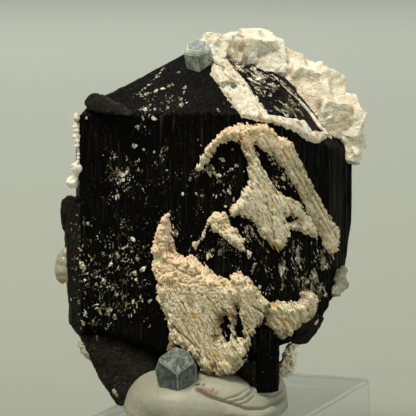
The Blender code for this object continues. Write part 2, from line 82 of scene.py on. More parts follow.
# Main crystal: azimuth from the display side, tilt from level, distance from the crystal's middle
CRYSTAL_MIDDLE = np.array((-3.0, 1.0, 40.0))
PRISM_FACES = [
    (18.0, 90.0, 16.5), (43.0, 90.0, 17.9), (63.5, 90.0, 19.5), (99.0, 90.0, 21.5),
    (140.5, 90.0, 19.6), (177.0, 90.0, 16.1), (221.0, 90.0, 17.1), (246.0, 90.0, 19.0),
    (281.0, 90.0, 21.1), (338.0, 90.0, 12.85),
]
TIP_FACES = [
    (-24.8, 43.8, 21.75), (42.3, 31.7, 23.4), (69.9, 47.1, 22.7), (83.0, 44.0, 23.8),
    (161.6, 25.7, 22.3), (-125.8, 34.8, 22.95), (-93.0, 47.0, 26.4),
]
FOOT_FACES = [
    (0.0, 180.0, 20.0), (90.0, 163.0, 19.4), (96.0, 127.0, 20.9), (-93.0, 132.0, 26.8),
    (-37.0, 132.5, 22.0),
]
SLANTED_EDGE = (97.0, 99.7, 21.3)
FACE_BLEND = 0.8           # how far directions blend over an edge, in millimetres

# Growths and broken ends that are one with the crystal: picture x, picture y, depth
GROWTHS = [
    [
        (79, 336, -2.5), (97, 353, -4.0), (99, 379, -5.0), (113, 400, -7.4), (120, 407, -8.4),
        (126, 404, -8.6), (141, 384, -8.8), (156, 372, -8.0), (168, 352, -6.0), (150, 330, -5.0),
        (100, 345, 5.0), (104, 376, 2.0), (122, 391, -2.0), (150, 372, 5.0), (160, 340, 6.0),
    ],
    [
        (71, 196, -2.0), (66, 236, -2.0), (68, 284, -2.0), (72, 326, -2.0), (79, 337, -2.0),
        (84, 206, -4.3), (84, 330, -4.3), (68, 200, 5.0), (66, 240, 6.0), (70, 322, 6.0),
        (95, 200, 6.0), (95, 335, 6.0), (95, 240, -1.0),
    ],
    [
        (69, 194, -0.5), (62, 201, -0.5), (61, 215, -0.8), (62, 229, -0.5), (67, 236, -0.8),
        (66, 200, 3.5), (64, 226, 3.5), (78, 198, -2.6), (78, 234, -2.6), (85, 215, 3.0),
    ],
    [
        (84, 104, -4.2), (88, 96, -4.4), (95, 92.5, -4.4), (104, 96, -4.6), (134, 112, -9.6),
        (130, 117, -10.6), (90, 110, -5.6), (92, 96, -1.5), (100, 98, -1.2), (128, 112, -6.5),
    ],
    [
        (286, 318, -12.6), (312, 308, -10.4), (325, 318, -8.0), (314, 336, -8.6),
        (306, 343, -9.4), (293, 343.5, -10.4), (284, 338, -12.0), (290, 315, -4.0),
        (322, 322, -2.0), (300, 340, -3.0),
    ],
    [
        (236, 372, -11.8), (240, 364, -13.4), (256, 360, -14.6), (256, 386, -14.4),
        (247, 382, -13.4), (240, 378, -12.0), (256, 384, -10.0), (240, 366, -10.0),
    ],
]
STUB_CENTRE = (264, -12.0)
STUB_SPAN = (390, 326)
STUB_HALF_WIDTH = 2.35

# Crust outlines on the front view
LOWER_CRUST = [
    (167, 215), (171, 228), (172, 252), (180, 258), (190, 257), (200, 262), (206, 269),
    (214, 276), (229, 283), (232, 275), (240, 273), (247, 279), (256, 290), (264, 299),
    (274, 303), (286, 303), (300, 301), (303, 292), (309, 292), (314, 300), (314, 310),
    (307, 319), (297, 326), (286, 338), (277, 336), (268, 325), (266, 313), (260, 322),
    (251, 334), (246, 355), (240, 365), (232, 372), (213, 374), (203, 370), (197, 359),
    (186, 349), (175, 339), (168, 318), (160, 298), (155, 270), (154, 250), (158, 232),
]
UPPER_CRUST = [
    (198, 169), (200, 159), (206, 148), (215, 138), (228, 128), (241, 124), (262, 125),
    (272, 128), (280, 137), (289, 141), (294, 148), (301, 164), (318, 199), (330, 220),
    (338, 229), (336, 251), (330, 254), (322, 238), (311, 217), (297, 193), (283, 173),
    (264, 155), (256, 150), (262, 160), (276, 176), (292, 197), (304, 212), (314, 225),
    (315, 237), (300, 231), (290, 229), (286, 241), (280, 251), (270, 244), (262, 236),
    (254, 222), (241, 214), (232, 217), (230, 210), (242, 195), (249, 180), (249, 164),
    (240, 141), (230, 139), (217, 147), (208, 158), (202, 168),
]
SMALL_PATCH = [
    (209, 221), (215, 214), (224, 214), (229, 225), (236, 231), (243, 240), (243, 252),
    (237, 247), (229, 240), (220, 231), (212, 229),
]
TOP_BAND = [
    (211, 74), (214, 64), (219, 58), (226, 61), (233, 70), (243, 80), (249, 89), (254, 98),
    (261, 108), (268, 115), (295, 120), (302, 121), (307, 127), (311, 133), (322, 133), (325, 138),
    (318, 142), (313, 142), (303, 135), (292, 128), (276, 123), (243, 116), (234, 106), (225, 95),
    (220, 85),
]

# Backdrop: distances behind the specimen in millimetres, and painted shade from near to far, darker
# near the specimen in place of the lights' falloff
FLOOR_NEAR, FLOOR_FAR = 40.0, 1200.0
FLOOR_SHADE_TONES = (
    (0.0, (0.300, 0.320, 0.262)), (0.1, (0.343, 0.366, 0.302)), (0.24, (0.388, 0.415, 0.347)),
    (0.48, (0.448, 0.480, 0.412)), (0.82, (0.587, 0.630, 0.555)), (1.0, (0.660, 0.710, 0.620)),
)


# Noise

def lattice(points, size, seed):
    """Return smooth noise from -1 to 1, with bumps of about the given size."""
    table = np.random.default_rng(seed).uniform(-1.0, 1.0, (LATTICE,) * 3)
    scaled = np.asarray(points) / size
    cell = np.floor(scaled).astype(int)
    share = scaled - cell
    share = share * share * (3 - 2 * share)
    total = np.zeros(len(scaled))
    for corner in itertools.product((0, 1), repeat=3):
        weight = np.prod(np.where(corner, share, 1 - share), axis=1)
        i, j, k = ((cell + corner) % LATTICE).T
        total += weight * table[i, j, k]
    return total


def rough(points, size, seed, steps=3):
    """Return noise with finer noise on top of it."""
    return sum(lattice(points, size / 2 ** k, seed + k) / 2 ** k for k in range(steps))


def flat(xy):
    """Give picture points a third coordinate for the noise."""
    return np.column_stack((xy, np.zeros(len(xy))))


def grains(xy, size, seed):
    """Return the height, 0 to 1, of a packed layer of round grains, and each grain's own number."""
    draw = np.random.default_rng(seed)
    jitter = draw.uniform(0.1, 0.9, (LATTICE, LATTICE, 2))
    numbers = draw.uniform(0.0, 1.0, (LATTICE, LATTICE))
    cell = np.floor(xy / size).astype(int)
    nearest = np.full(len(xy), np.inf)
    number = np.zeros(len(xy))
    for step in itertools.product((-1, 0, 1), repeat=2):
        spot = cell + step
        i, j = (spot % LATTICE).T
        reach = np.linalg.norm(xy / size - spot - jitter[i, j], axis=1)
        closer = reach < nearest
        nearest = np.where(closer, reach, nearest)
        number = np.where(closer, numbers[i, j], number)
    return np.sqrt(1 - np.minimum(1.0, nearest / 0.8) ** 2), number


def soft_step(value, low, high):
    share = np.clip((value - low) / (high - low), 0.0, 1.0)
    return share * share * (3 - 2 * share)


# Front view

def sights(xy):
    """Return the directions from the eye through picture points."""
    xy = np.atleast_2d(np.asarray(xy, float))
    scale = VIEW_POINT / VIEW_DISTANCE
    right = (xy[:, :1] - VIEW_MIDDLE) * scale * RIGHT
    return FORWARD + right + (VIEW_MIDDLE - xy[:, 1:2]) * scale * UPWARD


def seen(x, y, depth):
    """Return the point at a depth along Y that shows at a picture point."""
    along = sights((x, y))[0]
    return EYE + along * (depth - EYE[1]) / along[1]


def seen_all(points):
    return [seen(*point) for point in points]


def picture(points):
    """Return where points show on the front view."""
    away = np.asarray(points) - EYE
    scale = VIEW_DISTANCE / VIEW_POINT / (away @ FORWARD)
    return np.column_stack((VIEW_MIDDLE + away @ RIGHT * scale, VIEW_MIDDLE - away @ UPWARD * scale))


def face_planes(faces):
    """Return the faces' outward directions and distances from the origin."""
    table = np.array(faces)
    a, t = np.radians(table[:, 0]), np.radians(table[:, 1])
    normals = np.column_stack((np.sin(t) * np.sin(a), -np.sin(t) * np.cos(a), np.cos(t)))
    return normals, table[:, 2] + normals @ CRYSTAL_MIDDLE


def entries(xy, faces):
    """Return where sight lines meet the front of the solid between the faces."""
    normals, distances = face_planes(faces)
    along = sights(xy)
    facing = along @ normals.T
    reach = np.where(facing < 0, (distances - normals @ EYE) / np.minimum(facing, -1e-9), -np.inf)
    return EYE + reach.max(axis=1)[:, None] * along


def outwards(points, faces):
    """Return the directions away from the solid, blended over its nearest faces."""
    normals, distances = face_planes(faces)
    weights = np.exp(np.clip((points @ normals.T - distances) / FACE_BLEND, -60, 10))
    total = weights @ normals
    return total / np.linalg.norm(total, axis=1)[:, None]


def hits(xy, pieces):
    """Return which picture points show some pieces, and where and how those surfaces face."""
    verts, faces = [], []
    for piece in pieces:
        first = len(verts)
        verts += [vert.co.copy() for vert in piece.data.vertices]
        faces += [[first + index for index in face.vertices] for face in piece.data.polygons]
    tree = BVHTree.FromPolygons(verts, faces)
    start = Vector(EYE * MM)
    met, spots, aways = [], [], []
    for number, along in enumerate(sights(xy)):
        spot, away = tree.ray_cast(start, Vector(along))[:2]
        if spot is not None:
            met.append(number)
            spots.append(np.array(spot) / MM)
            aways.append(np.array(away))
    return np.array(met), np.array(spots), np.array(aways)


def line_distances(xy, line):
    """Return the distances of picture points from a line through some corners."""
    best = np.full(len(xy), np.inf)
    for start, end in zip(line, line[1:]):
        a, side = np.array(start, float), np.subtract(end, start).astype(float)
        share = np.clip((xy - a) @ side / (side @ side), 0.0, 1.0)
        best = np.minimum(best, np.linalg.norm(a + share[:, None] * side - xy, axis=1))
    return best


def edge_distances(xy, outline):
    """Return the distances of picture points inside an outline, less than 0 outside it."""
    crossings = np.zeros(len(xy), int)
    for start, end in zip(outline, outline[1:] + outline[:1]):
        spans = (start[1] > xy[:, 1]) != (end[1] > xy[:, 1])
        level = float(end[1] - start[1]) or 1.0
        crossings += spans & (xy[:, 0] < start[0] + (xy[:, 1] - start[1]) * (end[0] - start[0]) / level)
    away = line_distances(xy, outline + outline[:1])
    return np.where(crossings % 2 == 1, away, -away)


# Meshes

def add_object(name, data):
    """Put an object into the scene at the origin."""
    made = bpy.data.objects.new(name, data)
    bpy.context.scene.collection.objects.link(made)
    return made


def settled(holder):
    """Return an object's mesh with its modifiers applied."""
    evaluated = holder.evaluated_get(bpy.context.evaluated_depsgraph_get())
    return bpy.data.meshes.new_from_object(evaluated)


def wall_faces(count, levels):
    """Return the faces between rings of points that lie one above the other."""
    faces = []
    for level in range(levels):
        for i in range(count):
            j = (i + 1) % count
            base, upper = level * count, (level + 1) * count
            faces.append((base + i, base + j, upper + j, upper + i))
    return faces


def make(name, verts, faces, finish, nodes, attributes=None, smooth=True):
    """Make a finished piece of a closed mesh in millimetres, standing for CAD nodes."""
    mesh = bpy.data.meshes.new(name)
    mesh.from_pydata((np.asarray(verts) * MM).tolist(), [], faces)
    for title, values in (attributes or {}).items():
        layer = mesh.attributes.new(title, "FLOAT", "POINT")
        layer.data.foreach_set("value", np.asarray(values, np.float32))
    bm = bmesh.new()
    bm.from_mesh(mesh)
    bmesh.ops.recalc_face_normals(bm, faces=bm.faces)
    bm.to_mesh(mesh)
    bm.free()
    mesh.polygons.foreach_set("use_smooth", [smooth] * len(mesh.polygons))
    piece = add_object(name, mesh)
    dress(piece, finish, nodes)
    return piece


def dress(piece, finish, nodes):
    """Give a piece its material, hang it on the body and hide the CAD parts it stands for."""
    material, slot = finish
    piece.data.materials.clear()
    piece.data.materials.append(material)
    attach(piece, BODY)
    if nodes:
        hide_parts(*nodes)


def hull(points):
    """Return the convex solid around some points."""
    bm = bmesh.new()
    for point in points:
        bm.verts.new(point)
    made = bmesh.ops.convex_hull(bm, input=bm.verts)
    inner = {item for item in made["geom_interior"] if isinstance(item, bmesh.types.BMVert)}
    bmesh.ops.delete(bm, geom=list(inner), context="VERTS")
    return bm


def fused(solids, voxel):
    """Join solids into one skin; return its points, faces and outward directions."""
    whole = bmesh.new()
    for solid in solids:
        mesh = bpy.data.meshes.new("solid")
        solid.to_mesh(mesh)
        solid.free()
        whole.from_mesh(mesh)
        bpy.data.meshes.remove(mesh)
    bmesh.ops.recalc_face_normals(whole, faces=whole.faces)
    mesh = bpy.data.meshes.new("skin")
    whole.to_mesh(mesh)
    whole.free()
    holder = add_object("skin", mesh)
    remesh = holder.modifiers.new("join", "REMESH")
    remesh.mode = "VOXEL"
    remesh.voxel_size = voxel
    skin = settled(holder)
    verts = np.empty(3 * len(skin.vertices))
    skin.vertices.foreach_get("co", verts)
    normals = np.empty(3 * len(skin.vertices))
    skin.vertices.foreach_get("normal", normals)
    faces = [tuple(face.vertices) for face in skin.polygons]
    bpy.data.objects.remove(holder)
    bpy.data.meshes.remove(mesh)
    bpy.data.meshes.remove(skin)
    return verts.reshape(-1, 3), faces, normals.reshape(-1, 3)


def hollowness(verts, faces, normals):
    """Return how deep in a hollow each mesh point lies, less than 0 on an edge."""
    pairs = np.array([pair for face in faces for pair in zip(face, face[1:] + face[:1])])
    pairs = np.vstack((pairs, pairs[:, ::-1]))
    count = np.bincount(pairs[:, 0], minlength=len(verts))
    smooth = verts
    for repeat in range(HOLLOW_PASSES):
        sums = [np.bincount(pairs[:, 0], smooth[pairs[:, 1], k], len(verts)) for k in range(3)]
        smooth = np.column_stack(sums) / count[:, None]
    return np.sum((smooth - verts) * normals, axis=1)


def ball(middle, radius, seed, amount):
    """Return a lumpy ball."""
    bm = bmesh.new()
    bmesh.ops.create_icosphere(bm, subdivisions=3, radius=1.0)
    points = np.array([vert.co for vert in bm.verts])
    reach = radius * (1 + amount * rough(points, 0.8, seed, 2))
    for vert, point in zip(bm.verts, points * reach[:, None] + middle):
        vert.co = point
    return bm


def blocky(middle, radius, draw, turn=0.5):
    """Return a turned block with cut corners."""
    rotation = Euler([draw.uniform(-turn, turn) for axis in range(3)]).to_matrix()
    half = [radius * draw.uniform(0.72, 0.92) for axis in range(3)]
    points = []
    for signs in itertools.product((-1, 1), repeat=3):
        for short in range(3):
            corner = [s * h * (0.62 if k == short else 1.0)
                      for k, (s, h) in enumerate(zip(signs, half))]
            points.append(Vector(middle) + rotation @ Vector(corner))
    return hull(points)


# Materials

FIBRE_TURN = math.radians(-28.0)
RUST = (0.74, 0.37, 0.05)
TAN = (0.66, 0.48, 0.27)
PEACH = (0.98, 0.72, 0.44)
UMBER = (0.26, 0.12, 0.04)
# Feldspars: colours of hollows, mostly painted shade, of the body and of grains, partly painted light,
# how gritty and how fibrous they are
FELDSPARS = {
    "cream_feldspar": ((0.16, 0.08, 0.02), (0.50, 0.435, 0.265), (0.87, 0.79, 0.565), 0.75, 1.0),
    "bright_feldspar": ((0.34, 0.23, 0.12), (0.66, 0.58, 0.42), (0.95, 0.91, 0.77), 0.9, 0.15),
    "pale_feldspar": ((0.30, 0.21, 0.11), (0.66, 0.57, 0.40), (0.92, 0.87, 0.69), 0.9, 0.0),
    "brown_feldspar": ((0.06, 0.04, 0.02), (0.20, 0.13, 0.07), (0.42, 0.31, 0.18), 1.0, 0.0),
}


class Value:
    """A node's output; sums and products of it add Math nodes."""

    def __init__(self, finish, socket):
        self.finish = finish
        self.socket = socket

    def join(self, operation, first, second):
        return self.finish.add("ShaderNodeMath", {"operation": operation}, {0: first, 1: second})

    def __add__(self, other):
        return self.join("ADD", self, other)

    def __sub__(self, other):
        return self.join("SUBTRACT", self, other)

    def __rsub__(self, other):
        return self.join("SUBTRACT", other, self)

    def __mul__(self, other):
        return self.join("MULTIPLY", self, other)

    __radd__ = __add__
    __rmul__ = __mul__


class Finish:
    """A material under construction."""

    def __init__(self, name, **plain):
        self.material = bpy.data.materials.new(name)
        self.material.use_nodes = True
        self.tree = self.material.node_tree
        self.shader = self.tree.nodes["Principled BSDF"]
        for socket, value in plain.items():
            self.shader.inputs[socket.replace("_", " ")].default_value = value

    def add(self, kind, settings=None, sockets=None, out=0):
        """Add a node with its settings and its sockets' values or links; return one output."""
        node = self.tree.nodes.new(kind)
        for setting, value in (settings or {}).items():
            if setting == "stops":
                for spot, (position, colour) in enumerate(value):
                    stops = node.color_ramp.elements
                    stop = stops[spot] if spot < len(stops) else stops.new(position)
                    stop.position = position
                    stop.color = (*colour, 1.0)
            else:
                setattr(node, setting, value)
        for socket, value in (sockets or {}).items():
            self.fill(node.inputs[socket], value)
        return Value(self, node.outputs[out])

    def fill(self, socket, value):
        """Link a value to a socket, or set it plainly."""
        if isinstance(value, Value):
            self.tree.links.new(value.socket, socket)
        elif isinstance(value, tuple) and len(value) == 3 and len(socket.default_value) == 4:
            socket.default_value = (*value, 1.0)
        else:
            socket.default_value = value

    def place(self, stretch=(1.0, 1.0, 1.0), turn=(0.0, 0.0, 0.0)):
        """Return object coordinates, in millimetres times the stretch."""
        where = self.add("ShaderNodeTexCoord", out="Object")
        scale = tuple(part / MM for part in stretch)
        mapping = {"Vector": where, "Rotation": turn, "Scale": scale}
        return self.add("ShaderNodeMapping", sockets=mapping)

    def noise(self, size, detail, stretch=(1.0, 1.0, 1.0), turn=(0.0, 0.0, 0.0)):
        sockets = {"Vector": self.place(stretch, turn), "Scale": 1.0 / size, "Detail": detail}
        return self.add("ShaderNodeTexNoise", sockets=sockets)

    def cells(self, size):
        return self.add("ShaderNodeTexVoronoi", sockets={"Vector": self.place(), "Scale": 1.0 / size})

    def fibres(self, width, length):
        """Return noise drawn out along the feldspar's fibres, in millimetres."""
        where = self.add("ShaderNodeTexCoord", out="Object")
        form = {
            "Vector": where, "Rotation": (0.0, FIBRE_TURN, 0.0),
            "Scale": (width * MM, 3 * width * MM, length * MM),
        }
        along = self.add("ShaderNodeMapping", {"vector_type": "TEXTURE"}, form)
        return self.add("ShaderNodeTexNoise", sockets={"Vector": along, "Scale": 1.0, "Detail": 3.0})

    def between(self, value, low, high):
        """Return 0 where the value is low, 1 where it is high, and a soft step between."""
        sockets = {"Value": value, "From Min": low, "From Max": high}
        return self.add("ShaderNodeMapRange", {"interpolation_type": "SMOOTHSTEP"}, sockets)

    def carried(self, name):
        """Return a number that the mesh carries."""
        return self.add("ShaderNodeAttribute", {"attribute_name": name}, out="Fac")

    def blend(self, share, first, second):
        sockets = {0: share, 6: first, 7: second}
        return self.add("ShaderNodeMix", {"data_type": "RGBA"}, sockets, out=2)

    def ramp(self, value, *stops):
        return self.add("ShaderNodeValToRGB", {"stops": stops}, {"Fac": value})

    def bump(self, height, depth):
        """Raise the surface by a height from 0 to 1, at most by a depth in millimetres."""
        sockets = {"Strength": 1.0, "Distance": depth * MM, "Height": height}
        self.set("Normal", self.add("ShaderNodeBump", sockets=sockets))

    def set(self, socket, value):
        self.fill(self.shader.inputs[socket], value)


def tourmaline_finish():
    made = Finish("black_tourmaline", IOR=1.5, Specular_IOR_Level=0.035)
    streaks = made.noise(0.5, 4.0, stretch=(1.0, 1.0, 0.05))
    fine = made.noise(0.2, 2.0, stretch=(1.0, 1.0, 0.03))
    cloud = made.noise(6.0, 3.0)
    # Painted highlight: fine lighter streaks in the base colour stand in for glints on the striated
    # faces
    painted_glint = made.between(fine, 0.55, 0.7) * made.between(cloud, 0.35, 0.65)
    body = made.blend(painted_glint, (0.0016, 0.0016, 0.0012), (0.024, 0.023, 0.016))
    dust = made.between(made.noise(0.3, 3.0), 0.64, 0.74) * made.between(cloud, 0.6, 0.45)
    made.set("Base Color", made.blend(dust, body, (0.09, 0.08, 0.05)))
    made.set("Roughness", 0.3 + 0.3 * made.between(streaks, 0.35, 0.7))
    made.bump(streaks * 0.6 + fine * 0.4, 0.22)
    return made.material, "black_tourmaline"


def broken_finish():
    """Rough, matt black of the broken foot and the growths."""
    made = Finish("broken_tourmaline", IOR=1.5, Specular_IOR_Level=0.05)
    grit = made.noise(0.7, 6.0)
    cloud = made.noise(3.0, 3.0)
    body = made.blend(cloud, (0.004, 0.004, 0.003), (0.017, 0.0165, 0.012))
    dust = made.between(made.noise(0.28, 4.0), 0.6, 0.72)
    made.set("Base Color", made.blend(dust, body, (0.08, 0.07, 0.045)))
    made.set("Roughness", 0.4 + 0.3 * cloud)
    made.bump(grit, 0.5)
    return made.material, "black_tourmaline"


def feldspar_finish(name, deep, middle, high, grit, fibrous):
    """Granular or fibrous feldspar: painted shade makes it brown in the hollows and painted light cream
    on the grains, a painted peach light warms its top, and it has rusty flecks.
    """
    made = Finish(name, IOR=1.45, Specular_IOR_Level=0.12)
    mottle = made.noise(0.8, 5.0)
    granules = made.cells(0.34)
    strands = made.fibres(0.18, 1.7)
    # The grain and strand pattern that raises the bump also lightens the colour on top and darkens it
    # between: painted light and shade, with random mottle
    small = (mottle - 0.5) * (0.9 - 0.4 * fibrous) + (0.42 - granules) * 0.35
    small = (small + (strands - 0.5) * (1.2 * fibrous)) * grit
    level = made.between(made.carried("lift") + small, 0.0, 1.0)
    body = made.ramp(level, (0.0, deep), (0.42, middle), (0.85, high))
    tint = made.between(made.noise(3.2, 3.0), 0.48, 0.68) * (0.5 - 0.2 * fibrous)
    body = made.blend(tint, body, TAN)
    # Painted light: peach and lighter towards the top, where light falls from above
    body = made.blend(made.carried("warm") * 0.5, body, PEACH)
    brown = made.between(made.fibres(0.16, 0.9), 0.58, 0.63) * (1.1 * grit * fibrous)
    body = made.blend(brown, body, UMBER)
    fleck = made.between(made.noise(0.42, 2.0), 0.635, 0.675) * (grit * (0.4 + 0.6 * fibrous))
    stained = made.blend(fleck, body, RUST)
    made.set("Base Color", made.blend(made.carried("rust"), stained, RUST))
    made.set("Roughness", 0.8 + 0.2 * mottle)
    ridges = made.noise(0.2, 4.0) * 0.7 + (1 - granules) * 0.7 + strands * (1.3 * fibrous)
    made.bump(ridges, 0.18 * grit)
    return made.material, "cream_feldspar"


def chip_finish():
    """Small white flakes on the black faces."""
    made = Finish("feldspar_chips", IOR=1.5, Specular_IOR_Level=0.3, Roughness=0.55)
    tint = made.noise(0.3, 2.0) * 0.5 + made.noise(2.6, 2.0) * 0.5
    stops = ((0.40, (0.08, 0.065, 0.03)), (0.52, (0.36, 0.31, 0.19)), (0.61, (0.98, 0.93, 0.76)))
    made.set("Base Color", made.ramp(tint, *stops))
    return made.material, "cream_feldspar"


def beryl_finish(name, clear, density, width, streak):
    """Grey-blue beryl with paler veils; the mesh says which facets are pale, which is painted light and
    shade by each facet's direction, and marks the softened edges for a painted highlight.
    """
    made = Finish(name, IOR=1.577, Specular_IOR_Level=0.12, Transmission_Weight=clear)
    veil = made.between(made.noise(width, 3.0, stretch=(1.0, 1.0, streak)), 0.46, 0.62)
    waves = made.noise(0.8, 4.0) - 0.5
    vein = made.between(waves * waves, 0.0012, 0.0002)
    pale = made.carried("pale")
    # Painted highlight: the softened edges' facets, marked fully pale, get a pale rim colour
    rim = made.between(pale, 0.96, 1.0)
    # Dark and light copies of the facet colour: painted shade and painted light, chosen by the mesh's
    # pale mark
    dark = made.blend(veil, (0.06, 0.095, 0.09), (0.17, 0.22, 0.20))
    light = made.blend(veil, (0.27, 0.32, 0.26), (0.78, 0.82, 0.67))
    body = made.blend(rim * 0.32, made.blend(pale, dark, light), (0.66, 0.72, 0.60))
    made.set("Base Color", made.blend(vein * (0.1 + 0.4 * pale), body, (0.95, 0.98, 0.88)))
    made.set("Roughness", 0.04 + 0.12 * veil)
    made.bump(waves, 0.04)
    absorb(made, (0.55, 0.70, 0.68), density)
    return made.material, "aquamarine"


def hyalite_finish():
    made = Finish("hyalite", IOR=1.46, Transmission_Weight=0.4)
    cloud = made.noise(0.8, 4.0)
    body = made.blend(cloud, (0.42, 0.38, 0.26), (0.80, 0.74, 0.55))
    made.set("Base Color", made.blend(made.carried("rust"), body, (0.62, 0.36, 0.06)))
    made.set("Roughness", 0.1 + 0.2 * cloud)
    made.bump(cloud, 0.08)
    absorb(made, (0.80, 0.74, 0.62), 80.0)
    return made.material, "hyalite"


def absorb(made, colour, density):
    """Tint the inside of a clear piece."""
    out = made.tree.nodes["Material Output"]
    inside = made.tree.nodes.new("ShaderNodeVolumeAbsorption")
    inside.inputs["Color"].default_value = (*colour, 1.0)
    inside.inputs["Density"].default_value = density
    made.tree.links.new(inside.outputs["Volume"], out.inputs["Volume"])


def putty_finish():
    made = Finish("putty", IOR=1.48, Specular_IOR_Level=0.35)
    cloud = made.noise(3.5, 3.0)
    body = made.blend(cloud, (0.27, 0.265, 0.185), (0.42, 0.415, 0.31))
    specks = made.between(made.cells(1.3), 0.10, 0.05) * 0.5
    body = made.blend(specks, body, (0.10, 0.09, 0.08))
    # Painted shade beside the gem's foot
    body = made.blend(made.carried("soot"), body, (0.03, 0.03, 0.028))
    made.set("Base Color", made.blend(made.carried("smear"), body, (0.30, 0.11, 0.08)))
    made.set("Roughness", 0.36 + 0.2 * cloud)
    made.bump(made.noise(0.8, 4.0), 0.12)
    return made.material, "putty"


def acrylic_finish():
    made = Finish("clear_acrylic", IOR=1.49, Transmission_Weight=0.9, Alpha=0.4)
    scratches = made.noise(0.35, 3.0, stretch=(1.0, 0.04, 1.0), turn=(0.0, 0.0, 0.5))
    made.set("Roughness", 0.01 + 0.05 * made.between(scratches, 0.55, 0.75))
    haze = made.noise(12.0, 2.0)
    made.set("Base Color", made.blend(haze, (0.90, 0.92, 0.86), (0.95, 0.97, 0.92)))
    return made.material


def floor_finish():
    """Pale backdrop with painted shade: a little darker near the specimen, lighter far off, in place of
    the lights' falloff.
    """
    made = Finish("floor", Roughness=0.9, Specular_IOR_Level=0.1)
    along = made.add("ShaderNodeSeparateXYZ", sockets={"Vector": made.place()}, out="Y")
    span = {"Value": along, "From Min": FLOOR_NEAR, "From Max": FLOOR_FAR}
    away = made.add("ShaderNodeMapRange", sockets=span)
    made.set("Base Color", made.ramp(away, *FLOOR_SHADE_TONES))
    return made.material


# Black crystal

WALL_PITCH = 0.17
REAR_PITCH = 0.32
WALL_LEVELS = 60
TIP_PITCH = 0.36
CRYSTAL_SKIN = 0.03
RIDGE_STEP, RIDGE_FINE, RIDGE_LENGTH = 0.9, 0.34, 22.0
CAP_INSET = 0.6            # from the rim to where a cap has its full relief
GROWTH_VOXEL = 0.27
GROWTH_FLOOR = 12.1
STUB_SIDES, STUB_LEVELS, STUB_RISE = 150, 40, 18


def prism_sides():
    """Return the prism's sides in plan as (start, end, inward direction)."""
    normals, distances = face_planes(PRISM_FACES)
    count = len(normals)
    corners = []
    for i in range(count):
        j = (i + 1) % count
        pair = np.array((normals[i, :2], normals[j, :2]))
        corners.append(np.linalg.solve(pair, (distances[i], distances[j])))
    return [(corners[i - 1], corners[i], -normals[i, :2]) for i in range(count)]


def ridge_depths(along, height, length):
    """Return how deep the grooves between the upright ridges are, in millimetres."""
    spot = np.column_stack((along, height / RIDGE_LENGTH, np.zeros(len(along))))
    steps = lattice(spot * (1 / RIDGE_STEP, 1, 1), 1.0, 5)
    broad = np.abs(lattice(spot, (2.6, 1.4, 1.0), 6))
    fine = np.abs(lattice(spot * (1 / RIDGE_FINE, 1, 1), 1.0, 7))
    deep = 0.13 * soft_step(steps, -0.1, 0.25) + 0.20 * soft_step(broad, 0.0, 0.5) + 0.07 * fine
    nicks = 0.12 * soft_step(lattice(spot * (1, RIDGE_LENGTH, 1), (0.7, 1.6, 1.0), 8), 0.45, 0.8)
    edge = np.minimum(along, length - along)
    return (deep + nicks) * np.clip(edge / 0.7, 0.15, 1.0) + CRYSTAL_SKIN


def cap_heights(xy, faces, top):
    """Return the height of the tip or foot faces over points in plan."""
    normals, distances = face_planes(faces)
    heights = (distances - xy @ normals[:, :2].T) / normals[:, 2]
    return heights.min(axis=1) if top else heights.max(axis=1)


def pushed_in(xy, height):
    """Keep wall points inside the slanted edge at the lower right."""
    normals, distances = face_planes([SLANTED_EDGE])
    normal = normals[0]
    level = np.linalg.norm(normal[:2])
    over = (xy @ normal[:2] + height * normal[2] - distances[0]) / level
    return xy - np.maximum(over, 0.0)[:, None] * normal[:2] / level


def cap_relief(xy, top):
    """Return the tip's shallow steps, or the broken foot's hollows."""
    spots = flat(xy)
    if top:
        steps = np.round(2.0 * rough(spots, 2.6, 21, 2)) * 0.07
        return steps + 0.06 * rough(spots, 0.9, 25)
    return 0.5 * rough(spots, 3.4, 31, 4) + 0.1


def cap(rim, faces, top, first):
    """Return the points inside a rim and the faces that close it."""
    low, high = rim.min(axis=0), rim.max(axis=0)
    xs = np.arange(low[0], high[0], TIP_PITCH)
    ys = np.arange(low[1], high[1], TIP_PITCH * 0.87)
    grid = [(x + (TIP_PITCH / 2 if j % 2 else 0.0), y) for j, y in enumerate(ys) for x in xs]
    grid = np.array(grid)
    depth = edge_distances(grid, [tuple(p) for p in rim])
    grid = grid[depth > 0.5 * TIP_PITCH]
    points = [Vector(p) for p in np.vstack((rim, grid))]
    loop = [list(range(len(rim)))]
    flat_points, _, triangles, sources = delaunay_2d_cdt(points, [], loop, 1, 1e-7)[:4]
    place = {}
    kept = []
    for number, source in enumerate(sources):
        if source and source[0] < len(rim):
            place[number] = source[0]
        else:
            place[number] = first + len(kept)
            kept.append(tuple(flat_points[number]))
    kept = np.array(kept)
    inset = np.clip(edge_distances(kept, [tuple(p) for p in rim]) / CAP_INSET, 0.0, 1.0)
    heights = cap_heights(kept, faces, top) - CRYSTAL_SKIN
    relief = cap_relief(kept, top) * inset
    heights = heights - np.abs(relief) if top else heights + 2 * CRYSTAL_SKIN + np.abs(relief)
    return np.column_stack((kept, heights)), triangles, place


